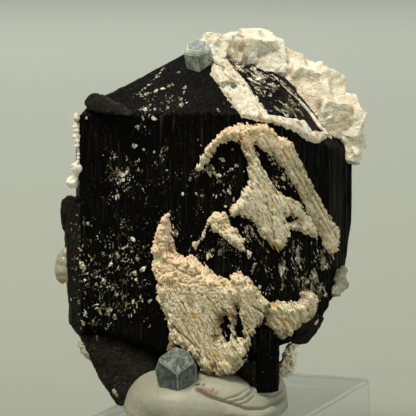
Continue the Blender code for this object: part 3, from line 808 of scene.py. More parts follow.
def build_crystal(finish):
    """Build the ridged prism with its tip faces and its broken foot."""
    spots, inwards, alongs, lengths = [], [], [], []
    for start, end, inward in prism_sides():
        length = np.linalg.norm(end - start)
        pitch = WALL_PITCH if inward[1] > -0.3 else REAR_PITCH
        for k in range(round(length / pitch)):
            share = k / round(length / pitch)
            spots.append(start + (end - start) * share)
            inwards.append(inward)
            alongs.append(share * length)
            lengths.append(length)
    spots, inwards = np.array(spots), np.array(inwards)
    alongs, lengths = np.array(alongs), np.array(lengths)
    high = cap_heights(spots, TIP_FACES, True) - CRYSTAL_SKIN
    low = cap_heights(spots, FOOT_FACES, False) + CRYSTAL_SKIN
    for repeat in range(4):
        low = cap_heights(pushed_in(spots, low), FOOT_FACES, False) + CRYSTAL_SKIN
    count = len(spots)
    rows = []
    unique = np.concatenate(([0.0], np.cumsum(np.linalg.norm(np.diff(spots, axis=0), axis=1))))
    for level in range(WALL_LEVELS + 1):
        height = low + (high - low) * level / WALL_LEVELS
        depth = ridge_depths(alongs, height, lengths)
        depth += 0.04 * np.abs(lattice(np.column_stack((unique, height, unique * 0)), 1.1, 9))
        place = pushed_in(spots, height) + inwards * depth[:, None]
        rows.append(np.column_stack((place, height)))
    verts = np.vstack(rows)
    faces = wall_faces(count, WALL_LEVELS)
    for top, rim_start, table in ((True, WALL_LEVELS * count, TIP_FACES), (False, 0, FOOT_FACES)):
        rim = verts[rim_start:rim_start + count, :2]
        inner, triangles, place = cap(rim, table, top, len(verts))
        number = {k: (v if v >= len(verts) else v + rim_start) for k, v in place.items()}
        faces += [tuple(number[k] for k in triangle) for triangle in triangles]
        verts = np.vstack((verts, inner))
    return make("schorl_prism", verts, faces, finish, ["schorl_crystal"])


def build_growths(finish):
    """Build the side growths, the spike and the broken stumps, with coarse relief."""
    verts, faces, normals = fused([hull(seen_all(points)) for points in GROWTHS], GROWTH_VOXEL)
    upright = np.abs(lattice(verts, (0.7, 0.7, 9.0), 41))
    upright = upright + 0.5 * np.abs(lattice(verts, (0.3, 0.3, 5.0), 42))
    chipped = rough(verts, 2.4, 43, 4)
    verts = verts + normals * (0.12 - 0.2 * upright + 0.22 * chipped)[:, None]
    verts[:, 2] = np.maximum(verts[:, 2], GROWTH_FLOOR)
    return make("schorl_growths", verts, faces, finish, ["schorl_crystal"])


def build_stub(finish):
    """Build the short ridged stub at the lower right."""
    x, depth = STUB_CENTRE
    low, high = (seen(x, y, depth)[2] for y in STUB_SPAN)
    middle = seen(x, sum(STUB_SPAN) / 2, depth)[:2]
    angles = np.arange(STUB_SIDES) * 2 * math.pi / STUB_SIDES
    rows = []
    for level in range(STUB_LEVELS + 1):
        height = low + (high - low) * level / STUB_LEVELS
        rise = np.full(STUB_SIDES, height / STUB_RISE)
        ring = np.column_stack((np.cos(angles), np.sin(angles), rise))
        ribs = np.abs(lattice(ring * (9.0, 9.0, 1.0), 1.0, 51))
        reach = STUB_HALF_WIDTH * (1.0 - 0.12 * ribs) + 0.1 * rough(ring * (4, 4, 20), 1.0, 52)
        around = middle + reach[:, None] * ring[:, :2]
        rows.append(np.column_stack((around, ring[:, 2] * STUB_RISE)))
    verts = np.vstack([*rows, [(*middle, low)], [(*middle, high)]])
    faces = wall_faces(STUB_SIDES, STUB_LEVELS)
    foot, head, last = len(verts) - 2, len(verts) - 1, STUB_LEVELS * STUB_SIDES
    for i in range(STUB_SIDES):
        j = (i + 1) % STUB_SIDES
        faces.append((foot, j, i))
        faces.append((head, last + i, last + j))
    return make("schorl_stub", verts, faces, finish, ["schorl_crystal"])


# Crusts

CRUST_PITCH = 0.72         # picture points between mesh points
CRUST_MARGIN = 3.0
CRUST_SUNK = 0.55
CRUST_FILL = 2.6           # how far a crust fills in over the broken foot
CRUST_LOWEST = -0.45       # how far a crust's rim dips under the face
COARSE_GRAIN, FINE_GRAIN = 6.0, 2.9
GRAINY_SOFT = 8            # half the width of the change from grainy to fibrous
CHANNEL_WIDTH = 0.9
FACES = PRISM_FACES + TIP_FACES

# A crust's looks. Seed of its noise; thickness, how soon it is reached and how far the outline
# grows; share of the ragged edge and of the relief; lean of the fibres in degrees. It is grainy
# above and left of the given levels, has painted light, warmer and peach, above another, as if lit
# from above, and has a lightness of its own. Knobs and rust are x, y and radius; channels are
# lines and openings are outlines on the front view.
CRUSTS = {
    "feldspar_lower_crust": {
        "outline": LOWER_CRUST, "seed": 81, "thick": 1.5, "rim": 3.4, "grow": 0.5,
        "ragged": 1.15, "relief": 0.85, "lean": 64,
        "grainy": (297, 181), "warm": 290, "light": 0.57,
        "knobs": [
            (168, 219, 3.5), (163, 229, 5), (161, 237, 4.5), (167, 245, 4.5), (160, 249, 5),
            (169, 254, 4), (161, 266, 6), (164, 276, 6), (180, 260, 4.5), (190, 260, 5.5),
            (199, 266, 6.5), (174, 276, 5.5), (160, 300, 5.5), (166, 290, 5), (213, 280, 5),
            (233, 276, 5), (241, 278, 5), (249, 287, 5), (175, 334, 7), (182, 344, 8),
            (262, 303, 5), (272, 308, 5), (284, 308, 5), (297, 305, 5.5), (308, 298, 6),
            (196, 352, 7), (210, 364, 7), (226, 366, 7), (240, 352, 6), (172, 322, 5),
        ],
        "channels": [
            [(169, 312), (176, 323), (183, 331), (191, 337), (198, 345)],
            [(181, 268), (189, 272), (197, 275), (203, 273)],
            [(250, 304), (262, 312), (266, 318)], [(201, 350), (206, 358)],
        ],
        "openings": [
            [(221.5, 316), (226, 315), (230.5, 322), (230, 330), (230.5, 339), (227, 341),
             (222.5, 334), (220.5, 325)],
            [(236, 304), (239.5, 315), (242, 323), (245, 329), (243.5, 339), (233.3, 338),
             (233.4, 328), (234.8, 317)],
        ],
        "rust": [
            (198, 315, 5), (258, 331, 5), (202, 337, 2), (188, 346, 2.5), (219, 354, 2.5),
            (205, 357, 2), (272, 304, 3.5), (279, 320, 2.5), (241, 336, 3), (178, 278, 2),
            (196, 325, 2), (291, 312, 2), (255, 340, 2.5), (236, 299, 2), (214, 348, 2),
            (182, 352, 2), (262, 330, 3),
        ],
    },
    "feldspar_upper_crust": {
        "outline": UPPER_CRUST, "seed": 91, "thick": 1.0, "rim": 2.4, "grow": 0.0,
        "ragged": 1.0, "relief": 0.65, "lean": 61,
        "grainy": (150, 238), "warm": 150, "light": 0.72,
        "knobs": [
            (199, 168, 2.6), (202, 162, 2.6), (205, 156, 2.8), (209, 150, 3), (213, 145, 3),
            (217, 139.5, 3.2), (222, 136.5, 3.2), (228, 132, 4.5), (235, 130, 4), (250, 128, 6),
            (263, 128, 5), (272, 131, 5), (290, 142, 5), (233, 211, 5), (243, 204, 5),
            (336, 244, 4), (332, 250, 3), (289, 236, 4), (310, 230, 4), (276, 244, 4),
        ],
        "channels": [
            [(262, 138), (274, 156), (290, 180), (304, 205)],
            [(279, 148), (296, 178), (312, 208), (326, 234)],
            [(240, 134), (243, 142)], [(266, 208), (270, 222), (272, 238)],
            [(271, 134), (286, 152), (300, 178), (309, 196)],
            [(297, 168), (312, 197), (324, 222), (333, 238)],
        ],
        "openings": [
            [(254, 144), (263, 149), (274, 156), (285, 168), (296, 186), (305, 205), (300, 206),
             (289, 197), (276, 192), (266, 175), (258, 159)],
            [(282, 216), (290, 216.5), (297, 218), (298, 224.5), (291, 223.5), (284, 222)],
        ],
        "rust": [
            (241, 138, 3), (290, 142, 2.5), (334, 249, 4), (339, 244, 2.5), (275, 247, 5),
            (252, 176, 2.5), (262, 187, 3), (269, 205, 2.5), (283, 157, 2.5), (252, 132, 2.5),
            (267, 136, 2.5), (232, 210, 2.5), (240, 162, 2), (289, 210, 2),
        ],
    },
    "feldspar_small_patch": {
        "outline": SMALL_PATCH, "seed": 101, "thick": 0.7, "rim": 2.0, "grow": 1.2,
        "ragged": 1.0, "relief": 0.9, "lean": 60,
        "grainy": (400, 400), "warm": 225, "light": 0.54,
        "knobs": [
            (217, 217, 5), (212, 220, 4), (223, 218, 4), (218, 226, 4.5), (221, 233, 4.5),
            (228, 235, 5), (229, 243, 5), (236, 238, 5), (241, 243, 4), (242, 250, 3.5),
        ],
        "channels": [], "openings": [], "rust": [(227, 228, 2), (244, 243, 2)],
    },
    "feldspar_top_band": {
        "outline": TOP_BAND, "seed": 111, "thick": 0.45, "rim": 1.4, "grow": 0.8,
        "ragged": 0.45, "relief": 0.12, "lean": 45,
        "grainy": (0, 0), "warm": 0, "light": 0.60,
        "knobs": [(303, 126, 4), (311, 137, 4), (319, 136, 4)],
        "channels": [], "openings": [], "rust": [(236, 86, 2), (262, 119, 2), (315, 137, 3)],
    },
}


def fibres(xy, width, length, seed, lean):
    """Return noise drawn out along the fibres, whose lean is in degrees from level."""
    lean = math.radians(lean)
    along = xy @ (math.cos(lean), math.sin(lean))
    across = xy @ (math.sin(lean), -math.cos(lean))
    return lattice(np.column_stack((across, along, np.zeros(len(xy)))), (width, length, 1.0), seed)


def dabs(xy, spots):
    """Return 0 to 1 around soft round spots, given as (x, y, radius)."""
    total = np.zeros(len(xy))
    for x, y, radius in spots:
        away = np.hypot(xy[:, 0] - x, xy[:, 1] - y)
        total = np.maximum(total, 1 - soft_step(away, 0.3 * radius, radius))
    return total


def domes(xy, spots):
    """Return the height, 0 to 1, of round knobs, given as (x, y, radius)."""
    total = np.zeros(len(xy))
    for x, y, radius in spots:
        away = np.hypot(xy[:, 0] - x, xy[:, 1] - y) / radius
        total = np.maximum(total, np.sqrt(1 - np.minimum(away, 1.0) ** 2) * min(1.0, radius / 5))
    return total


def grid_cells(outline, openings, pitch, margin):
    """Return a grid over an outline: its picture points, distances inwards and cells' corners."""
    points = np.array(outline, float)
    low, high = points.min(axis=0) - margin - pitch, points.max(axis=0) + margin + pitch
    columns = int((high[0] - low[0]) / pitch) + 1
    rows = int((high[1] - low[1]) / pitch) + 1
    x, y = np.meshgrid(low[0] + pitch * np.arange(columns), low[1] + pitch * np.arange(rows))
    xy = np.column_stack((x.ravel(), y.ravel()))
    distance = edge_distances(xy, outline)
    for opening in openings:
        distance = np.minimum(distance, -edge_distances(xy, opening))
    inside = (distance > -margin).reshape(rows, columns)
    cells = inside[:-1, :-1] & inside[1:, :-1] & inside[:-1, 1:] & inside[1:, 1:]
    for repeat in range(4):
        falling = cells[:-1, :-1] & cells[1:, 1:] & ~cells[1:, :-1] & ~cells[:-1, 1:]
        rising = ~cells[:-1, :-1] & ~cells[1:, 1:] & cells[1:, :-1] & cells[:-1, 1:]
        cells[1:, :-1] |= falling
        cells[:-1, :-1] |= rising
    corners = []
    for j, i in zip(*np.nonzero(cells)):
        near, far = j * columns + i, (j + 1) * columns + i
        corners.append((near, near + 1, far + 1, far))
    used = sorted({index for corner in corners for index in corner})
    renumber = {old: new for new, old in enumerate(used)}
    cells = [tuple(renumber[index] for index in corner) for corner in corners]
    return xy[used], distance[used], cells


def layer(name, xy, cells, fronts, backs, finish, attributes):
    """Make a closed layer of its front and back points."""
    count = len(xy)
    faces = [cell[::-1] for cell in cells]
    faces += [tuple(count + index for index in cell) for cell in cells]
    used = {pair for cell in cells for pair in zip(cell, cell[1:] + cell[:1])}
    for a, b in used:
        if (b, a) not in used:
            faces.append((a, b, count + b, count + a))
    verts = np.vstack((fronts, backs))
    doubled = {title: np.tile(values, 2) for title, values in attributes.items()}
    return make(name, verts, faces, finish, [name], doubled)


def crust_relief(xy, distance, form):
    """Return a crust's height and its lightness, from its knobs, grains, fibres and channels; the
    lightness is largely painted light and shade of that relief.
    """
    seed, lean = form["seed"], form["lean"]
    spots = flat(xy)
    ragged = 1.0 * lattice(spots, 5.0, seed) + 1.3 * lattice(spots, 1.8, seed + 1)
    ragged = ragged + 2.2 * fibres(xy, 1.2, 7.0, seed + 2, lean)
    edge = distance + form["grow"] + form["ragged"] * ragged
    level, side = form["grainy"]
    past = np.maximum(level - xy[:, 1], side - xy[:, 0])
    grainy = soft_step(past, -GRAINY_SOFT, GRAINY_SOFT)
    warped = xy + 1.1 * lattice(spots, 4.0, seed + 3)[:, None]
    coarse = grains(warped, COARSE_GRAIN, seed + 4)[0]
    fine, number = grains(warped, FINE_GRAIN, seed + 5)
    strands = fibres(xy, 1.6, 10.0, seed + 6, lean)
    tufts = fibres(xy, 4.2, 17.0, seed + 7, lean)
    patches = soft_step(lattice(spots, 12.0, seed + 9), -0.25, 0.35)
    dashes = soft_step(-fibres(xy, 1.5, 6.5, seed + 8, lean), 0.4, 0.65) * patches
    cuts = np.zeros(len(xy))
    for line in form["channels"]:
        away = line_distances(xy + 0.8 * lattice(spots, 3.0, seed + 10)[:, None], line)
        cuts = np.maximum(cuts, np.exp(-(away / CHANNEL_WIDTH) ** 2))
    knobs = domes(xy + 0.9 * lattice(spots, 2.5, seed + 11)[:, None], form["knobs"])
    bumps = grainy * (0.26 * coarse + 0.40 * fine - 0.3)
    bumps += (1 - grainy) * (0.20 * strands + 0.12 * tufts + 0.08 * fine - 0.04)
    bumps = form["relief"] * (bumps + 0.6 * knobs)
    height = form["thick"] * (1 - np.exp(-np.maximum(edge, 0) / form["rim"]))
    height += bumps * soft_step(edge, -0.5, 3) - 0.16 * dashes - 0.28 * cuts
    height = np.where(edge < 0, np.minimum(height, 0.3 * edge), height)
    # Painted light and shade: raised grains, fibres and knobs lighter, channels darker; brown dashes
    # are the crust's own colour, and each grain gets a random tone
    lift = form["light"] + 0.7 * bumps - 0.26 * form["relief"] * knobs - 0.34 * cuts
    lift -= 0.4 * dashes * (1 - 0.6 * grainy)
    return height, np.clip(lift + 0.16 * (number - 0.5), 0, 1)


def build_crust(name, finish):
    """Build a crust of grains and fibres that follows the crystal's faces."""
    form = CRUSTS[name]
    xy, distance, cells = grid_cells(form["outline"], form["openings"], CRUST_PITCH, CRUST_MARGIN)
    height, lift = crust_relief(xy, distance, form)
    on_face = entries(xy, FACES)
    away = outwards(on_face, FACES)
    on_foot = entries(xy, FACES + FOOT_FACES)
    behind = np.minimum(np.linalg.norm(on_foot - on_face, axis=1), CRUST_FILL)
    fronts = on_face + away * np.maximum(height, CRUST_LOWEST)[:, None]
    backs = on_face - away * CRUST_SUNK + sights(xy) * behind[:, None]
    shift = np.column_stack((lattice(flat(xy), 2.0, 71), lattice(flat(xy), 2.0, 72)))
    shades = {
        "lift": lift,
        "rust": 0.8 * dabs(xy + 1.2 * shift, form["rust"]),
        # Painted light towards the crust's top
        "warm": soft_step(form["warm"] - xy[:, 1], -10, 12),
    }
    return layer(name, xy, cells, fronts, backs, finish, shades)


# Feldspar mass behind the tip: picture x, picture y, depth, radius

BACK_LUMPS = [
    (214, 48, 1.5, 2.3), (228, 50, 3.5, 2.8), (243, 51, 5.0, 2.8), (256, 50, 6.5, 3.2),
    (270, 60, 6.5, 3.2), (282, 70, 6.5, 3.2), (297, 81, 6.5, 3.6), (311, 87, 6.0, 3.6),
    (324, 90, 5.0, 3.3), (300, 100, 5.0, 3.6), (318, 106, 3.5, 3.6), (331, 116, 1.5, 3.2),
    (344, 112, 2.0, 2.6), (350, 123, 1.5, 2.5), (350, 138, 1.5, 2.3), (350, 154, 0.8, 1.7),
    (262, 66, 10.5, 3.4), (284, 82, 11.0, 3.8), (308, 98, 10.0, 4.0), (330, 112, 8.0, 3.6),
    (240, 62, 9.5, 3.0), (296, 92, 14.0, 3.4), (322, 128, 12.0, 3.2), (268, 78, 14.5, 3.0),
]
BACK_RUST = [
    (262, 62, 3), (257, 71, 4), (289, 85, 6), (306, 96, 3), (295, 88, 4), (364, 130, 2),
    (358, 142, 2.5), (353, 152, 3), (250, 69, 3), (302, 92, 2),
]
# Spots of painted brown shade in the mass's hollows: picture x, picture y, radius
BACK_BROWN_SHADE = [
    (234, 47, 3), (241, 50, 2.5), (275, 53, 3), (279, 56, 3), (318, 104, 7),
    (322, 112, 8), (329, 100, 5), (327, 108, 5), (344, 118, 5), (347, 124, 5), (311, 74, 4),
    (292, 76, 4), (331, 74, 3), (288, 84, 6), (298, 98, 5),
]
BACK_CEILING = CAD_BOX[1][2] / MM - 0.05
BACK_CRUMBS = 7            # smaller blocks on each one
BACK_CRUMB_SIZES = (0.35, 0.95)
BACK_VOXEL = 0.22


def build_back_mass(finish):
    """Build the blocky feldspar mass, with smaller blocks grown on it."""
    draw = random.Random(21)
    solids = []
    for x, y, depth, radius in BACK_LUMPS:
        middle = seen(x, y, depth)
        solids.append(blocky(middle, radius, draw))
        for crumb in range(BACK_CRUMBS):
            way = Vector([draw.gauss(0, 1) for axis in range(3)]).normalized()
            spot = middle + np.array(way) * radius * 0.84
            solids.append(blocky(spot, draw.uniform(*BACK_CRUMB_SIZES), draw, 1.5))
    verts, faces, normals = fused(solids, BACK_VOXEL)
    hollow = hollowness(verts, faces, normals)
    grit = rough(verts, 0.8, 125)
    pits = np.abs(rough(verts, 0.55, 128, 2))
    verts = verts + normals * (0.16 * rough(verts, 2.2, 121) + 0.11 * grit - 0.12 * pits)[:, None]
    verts[:, 2] = np.minimum(verts[:, 2], BACK_CEILING)
    xy = picture(verts)
    # Painted shade: darker in hollows and at the listed brown spots, lighter where the grit pushes the
    # surface out
    lift = 0.79 - 1.8 * hollow + 0.16 * grit - 0.34 * dabs(xy + 2.0 * grit[:, None], BACK_BROWN_SHADE)
    shades = {"lift": np.clip(lift, 0, 1), "rust": 0.45 * dabs(xy + 2.5 * grit[:, None], BACK_RUST)}
    return make("feldspar_back_mass", verts, faces, finish, ["feldspar_back_mass"], shades)


# Small lumps at the crystal's edges: picture x, picture y, depth, radius

LEFT_BEADS = [
    (76.5, 115, -4.6, 0.36), (76.8, 118, -4.7, 0.5), (75.8, 122, -4.5, 0.42),
    (76, 126, -4.4, 0.56), (76.5, 131, -4.5, 0.5), (76.6, 136, -4.4, 0.56),
    (77, 141, -4.6, 0.46), (77, 146, -4.6, 0.46), (78, 150, -4.6, 0.3), (78.2, 154, -4.6, 0.28),
    (78.2, 158, -4.6, 0.28), (78, 162, -4.6, 0.32), (76.2, 168, -4.4, 0.85),
    (76.5, 174, -4.2, 0.36), (75.5, 178, -4.0, 0.4), (73, 182, -3.7, 1.0),
]
HYALITE_DROP = [
    (69, 247, -0.8, 0.5), (66.5, 254, -0.8, 1.0), (64.5, 262, -0.8, 1.35), (63.5, 270, -0.8, 1.5),
    (64, 276, -0.8, 1.3), (68, 251, -0.6, 0.7), (65, 258, -0.6, 1.2), (64, 266, -0.5, 1.4),
]
DROP_RUST = [(62, 281, 5)]
HYALITE_RIGHT = [
    (343, 271, -2.6, 0.7), (341, 274, -3.4, 0.8), (339, 277, -4.2, 0.95), (340, 280.5, -4.0, 0.9),
    (341, 284, -3.8, 1.0), (338.5, 287.5, -4.5, 0.9), (336, 291, -5.2, 0.85),
]
LOWER_RIGHT = [
    (294, 346, -9.6, 0.7), (292, 349, -9.3, 0.9), (290, 352, -9.0, 1.1), (289.5, 356, -8.9, 1.1),
    (289, 360, -8.8, 1.2), (287.5, 364, -8.8, 1.2), (286, 368, -8.8, 1.2),
]
QUARTZ_CHIP = [
    (82, 345, -2.6, 0.6), (84.5, 348, -2.7, 0.7), (86.5, 350.5, -2.8, 0.8), (89, 353.5, -2.9, 0.7),
    (91, 356, -3.0, 0.65),
]
# Grains strung out on the faces beside the crusts: picture x, picture y, radius
PATCH_TRAIL = [
    (209, 221, 0.3), (207.5, 224, 0.24), (206, 227, 0.22), (205, 230, 0.2), (204, 233, 0.26),
    (203, 236, 0.3), (201.5, 239, 0.24), (199, 241.5, 0.2), (197, 243, 0.3), (195, 244.5, 0.46),
    (195.5, 248, 0.3),
]
BROWN_ROCK = [
    (172, 337, 0.5), (173, 340, 0.55), (174, 343, 0.6), (172, 346, 0.55), (170, 349, 0.45),
]
# The bright line along the crystal's right shoulder, as corners of the same kind
SHOULDER_LINE = [
    (280, 83, 0.10), (289, 91, 0.16), (298, 99.5, 0.18), (309, 111.5, 0.26), (319, 126, 0.30),
    (326, 134, 0.34), (331, 138, 0.26),
]
STRING_STEP = 1.0
GRAIN_SUNK = 0.25          # share of a grain that is in the face it sits on
# The strip that goes on beside the gem: picture x, picture y, depth, radius
GEM_STRIP = [
    (220, 62, -4.9, 0.5), (217, 60, -4.7, 0.6), (214.5, 58, -4.5, 0.6), (213.5, 54.5, -4.3, 0.6),
    (212.5, 51, -4.1, 0.55), (211.5, 47.5, -3.9, 0.5), (216.5, 56, -4.3, 0.5), (215, 51.5, -4.0, 0.5),
]


def strung(corners):
    """Return spots close together along a line of corners."""
    corners = np.array(corners)
    far = np.concatenate(((0.0,), np.cumsum(np.hypot(*np.diff(corners[:, :2], axis=0).T))))
    steps = np.arange(0.0, far[-1], STRING_STEP)
    return [tuple(np.interp(step, far, column) for column in corners.T) for step in steps]


def resting(spots):
    """Give grains on the faces their depth."""
    lumps = []
    for x, y, radius in spots:
        depth = entries([(x, y)], FACES + FOOT_FACES)[0][1]
        lumps.append((x, y, depth - radius * (1 - 2 * GRAIN_SUNK), radius))
    return lumps


LUMPINESS = {"round": 0.16, "smooth": 0.05}


def build_lumps(name, lumps, finish, voxel, seed, shape, relief=0.08, rust=(), nodes=None):
    """Build a string of small lumps as one piece."""
    draw = random.Random(seed)
    solids = []
    for number, (x, y, depth, radius) in enumerate(lumps):
        if shape in LUMPINESS:
            solids.append(ball(seen(x, y, depth), radius, seed + number, LUMPINESS[shape]))
        else:
            solids.append(blocky(seen(x, y, depth), radius, draw, 0.9))
    verts, faces, normals = fused(solids, voxel)
    hollow = hollowness(verts, faces, normals)
    bumps = rough(verts, 0.6, seed, 3)
    verts = verts + normals * (relief * bumps)[:, None]
    # Painted shade: darker in the hollows between lumps, lighter on their bumps
    lift = np.clip(0.62 + 0.3 * bumps - 3.0 * hollow, 0, 1)
    shades = {"lift": lift, "rust": dabs(picture(verts), rust)}
    return make(name, verts, faces, finish, [name] if nodes is None else nodes, shades)


# Aquamarines: picture x and y and depth of the middle, width, length, lean forward and to the
# right, and turn; or outline, foremost point, back's depth, and azimuth and tilt of its facets

TIP_AQUAMARINE = ((199.5, 58.5, -3.4), 4.1, 4.8, 24.0, -10.0, 22.0)
OUTLINED_AQUAMARINES = {
    "aquamarine_band": (
        [(220, 82.5), (224, 80.5), (234, 81.5), (238, 86), (235, 89), (226, 90), (221.5, 86.5)],
        (230, 85.5, -9.4), -6.5, [(20.0, 60.0)],
    ),
    "aquamarine_base": (
        [
            (175, 347), (160, 357), (155, 370), (158, 384), (180, 394), (195, 387), (197, 367),
            (188, 351),
        ],
        (177, 374, -17.6), -11.0, [(0.0, 62.0), (-30.0, 106.0), (28.0, 104.0)],
    ),
}
CUT_CUBE = 120.0
TIP_RINGS = ((-1.0, 0.8), (-0.8, 1.0), (0.76, 1.0), (1.0, 0.72))
SOFT_EDGE = 0.15
SHARP_ANGLE = 0.2
RIM_AREA = 0.6              # facets smaller than this, in mm2, are the softened edges, which get a painted pale highlight


def tip_crystal():
    """Return a hexagonal crystal with bevelled ends."""
    middle, width, length, lean_front, lean_right, turn = TIP_AQUAMARINE
    front, side_lean = math.radians(lean_front), math.radians(lean_right)
    axis = np.array((
        math.sin(side_lean), -math.sin(front) * math.cos(side_lean),
        math.cos(front) * math.cos(side_lean),
    ))
    side = np.cross(axis, (0.0, 1.0, 0.0))
    side /= np.linalg.norm(side)
    other = np.cross(axis, side)
    half, reach = length / 2, width / 2 / math.cos(math.pi / 6)
    points = []
    for along, spread in TIP_RINGS:
        for k in range(6):
            angle = math.radians(60 * k + turn)
            around = math.cos(angle) * side + math.sin(angle) * other
            points.append(seen(*middle) + axis * (along * half) + around * reach * spread)
    return hull(points)


def outlined_crystal(outline, peak, back, facets):
    """Return a crystal that fills an outline on the front view, with facets through its peak."""
    middle = seen(peak[0], peak[1], (peak[2] + back) / 2)
    planes = [(np.array((0.0, 1.0, 0.0)), back)]
    for start, end in zip(outline, outline[1:] + outline[:1]):
        normal = np.cross(sights(start)[0], sights(end)[0])
        normal *= math.copysign(1.0, normal @ (EYE - middle)) / np.linalg.norm(normal)
        planes.append((normal, normal @ EYE))
    for azimuth, tilt in facets:
        normal = face_planes([(azimuth, tilt, 0.0)])[0][0]
        planes.append((normal, normal @ seen(*peak)))
    bm = bmesh.new()
    bmesh.ops.create_cube(bm, size=CUT_CUBE)
    bmesh.ops.translate(bm, vec=CRYSTAL_MIDDLE, verts=bm.verts)
    for normal, distance in planes:
        everything = bm.verts[:] + bm.edges[:] + bm.faces[:]
        cut = bmesh.ops.bisect_plane(
            bm, geom=everything, plane_co=normal * distance, plane_no=normal, clear_outer=True
        )
        rim = [item for item in cut["geom_cut"] if isinstance(item, bmesh.types.BMEdge)]
        if rim:
            bmesh.ops.contextual_create(bm, geom=rim)
    return bm


# Painted light and shade on the top gem: its top facet dark, the other facets pale, darker the more
# they face right
def tip_facet_shading(away):
    return 0.0 if away.z > 0.5 else 0.94 - 1.1 * max(0.0, away.x)


# Painted shade on the outlined gems: facets facing down towards the front dark, the rest pale
def front_facet_shading(away):
    return 0.1 + 0.1 * away.x if away.y < -0.6 and away.z < 0.1 else 0.75


def build_beryl(name, bm, finish, pale):
    """Make a crystal with softened edges; a function says how pale a facet is by its direction, which
    paints light and shade on the facets.
    """
    sharp = [edge for edge in bm.edges if edge.calc_face_angle(0.0) > SHARP_ANGLE]
    bmesh.ops.bevel(bm, geom=sharp, offset=SOFT_EDGE, segments=2, affect="EDGES")
    bm.verts.index_update()
    verts = np.array([vert.co for vert in bm.verts])
    faces = [tuple(vert.index for vert in face.verts) for face in bm.faces]
    bm.free()
    piece = make(name, verts, faces, finish, [name], smooth=False)
    shade = piece.data.attributes.new("pale", "FLOAT", "FACE")
    shade.data.foreach_set("value", [
        pale(face.normal) if face.area > RIM_AREA * MM ** 2 else 1.0 for face in piece.data.polygons
    ])
    return piece


# Putty

PUTTY_MIDDLE = np.array((-4.2, -4.6, 12.0))
PUTTY_HALF = (12.9, 14.0, 7.2)
PUTTY_SQUARE = 2.6
PUTTY_FLOOR = 12.05
PUTTY_DETAIL = 7
# Creases: how deep and how wide they are, then their line on the front view
PUTTY_CREASES = [
    (0.75, 1.3, [(197, 390), (207, 395), (216, 398), (232, 403), (248, 409), (264, 409), (278, 402),
                 (290, 394)]),
    (0.30, 0.9, [(226, 399), (238, 396), (247, 390)]),
    (0.30, 0.9, [(231, 402), (243, 399), (251, 393)]),
    (0.25, 0.9, [(239, 405), (248, 402), (255, 396)]),
    (0.50, 2.2, [(252, 382), (254, 390), (262, 394), (276, 394), (287, 386)]),
]
# Rolls: how high and how wide they are, then their line
PUTTY_ROLLS = [
    (0.75, 8.0, [(200, 384), (222, 386), (243, 391)]),
    (0.45, 6.0, [(232, 414), (256, 417), (280, 410), (293, 399)]),
    (0.40, 16.0, [(146, 398), (176, 404)]),
]
SMEAR = [(201, 389, 3.5), (206, 391, 3.5), (211, 391.5, 4), (216, 393, 3)]
# Painted shade, nearly black, where the gem base meets the putty: picture x, picture y, radius
GEM_FOOT_SHADE = [(198, 385, 2.2), (203, 386, 2.6), (196, 386, 1.5), (212, 389, 1.2)]


def build_putty(finish):
    """Build the pressed putty, with its creases and soft rolls."""
    bm = bmesh.new()
    bmesh.ops.create_icosphere(bm, subdivisions=PUTTY_DETAIL, radius=1.0)
    unit = np.array([vert.co for vert in bm.verts])
    faces = [tuple(vert.index for vert in face.verts) for face in bm.faces]
    bm.free()
    power = np.sum(np.abs(unit) ** PUTTY_SQUARE, axis=1) ** (-1 / PUTTY_SQUARE)
    reach = power * (1.0 + 0.04 * rough(unit, 0.6, 131, 2))
    spots = PUTTY_MIDDLE + unit * reach[:, None] * PUTTY_HALF
    xy = picture(spots)
    near = soft_step(-unit[:, 1], -0.1, 0.25)
    push = -0.25 * near
    for height, width, line in PUTTY_ROLLS:
        push += height * np.exp(-(line_distances(xy, line) / width) ** 2) * near
    for depth, width, line in PUTTY_CREASES:
        push -= depth * np.exp(-(line_distances(xy, line) / width) ** 2) * near
    push += 0.07 * rough(spots, 2.6, 135)
    spots = spots + unit * push[:, None]
    spots[:, 2] = np.maximum(spots[:, 2], PUTTY_FLOOR)
    shift = 1.2 * lattice(spots, 1.0, 139)[:, None]
    shades = {"smear": 0.7 * dabs(xy + shift, SMEAR) * near, "soot": dabs(xy + shift, GEM_FOOT_SHADE) * near}
    return make("mineral_putty", spots, faces, finish, ["mineral_putty"], shades)


# Flakes scattered on the black faces
# Picture x and y of a group's middle, its half width and half height, count, flake size in mm

FLAKE_GROUPS = [
    (118, 176, 18, 22, 170, 0.11), (112, 258, 42, 60, 420, 0.09), (84, 262, 14, 62, 180, 0.09),
    (146, 110, 14, 12, 30, 0.11), (150, 160, 60, 44, 130, 0.08), (116, 306, 38, 22, 150, 0.12),
    (215, 178, 24, 26, 90, 0.11), (218, 250, 30, 20, 110, 0.09), (285, 262, 44, 34, 190, 0.11),
    (320, 268, 14, 34, 130, 0.13), (258, 200, 22, 20, 50, 0.11), (283, 180, 10, 14, 24, 0.13),
    (268, 92, 16, 12, 90, 0.12), (236, 66, 10, 6, 50, 0.14), (256, 80, 12, 8, 90, 0.15),
    (290, 108, 14, 8, 80, 0.15), (140, 250, 60, 70, 300, 0.06), (250, 270, 90, 60, 180, 0.07),
    (190, 210, 100, 80, 300, 0.055), (170, 100, 30, 16, 90, 0.07), (96, 330, 20, 12, 30, 0.09),
    (248, 232, 12, 10, 70, 0.12), (310, 290, 20, 16, 100, 0.12), (226, 246, 26, 14, 70, 0.09),
]
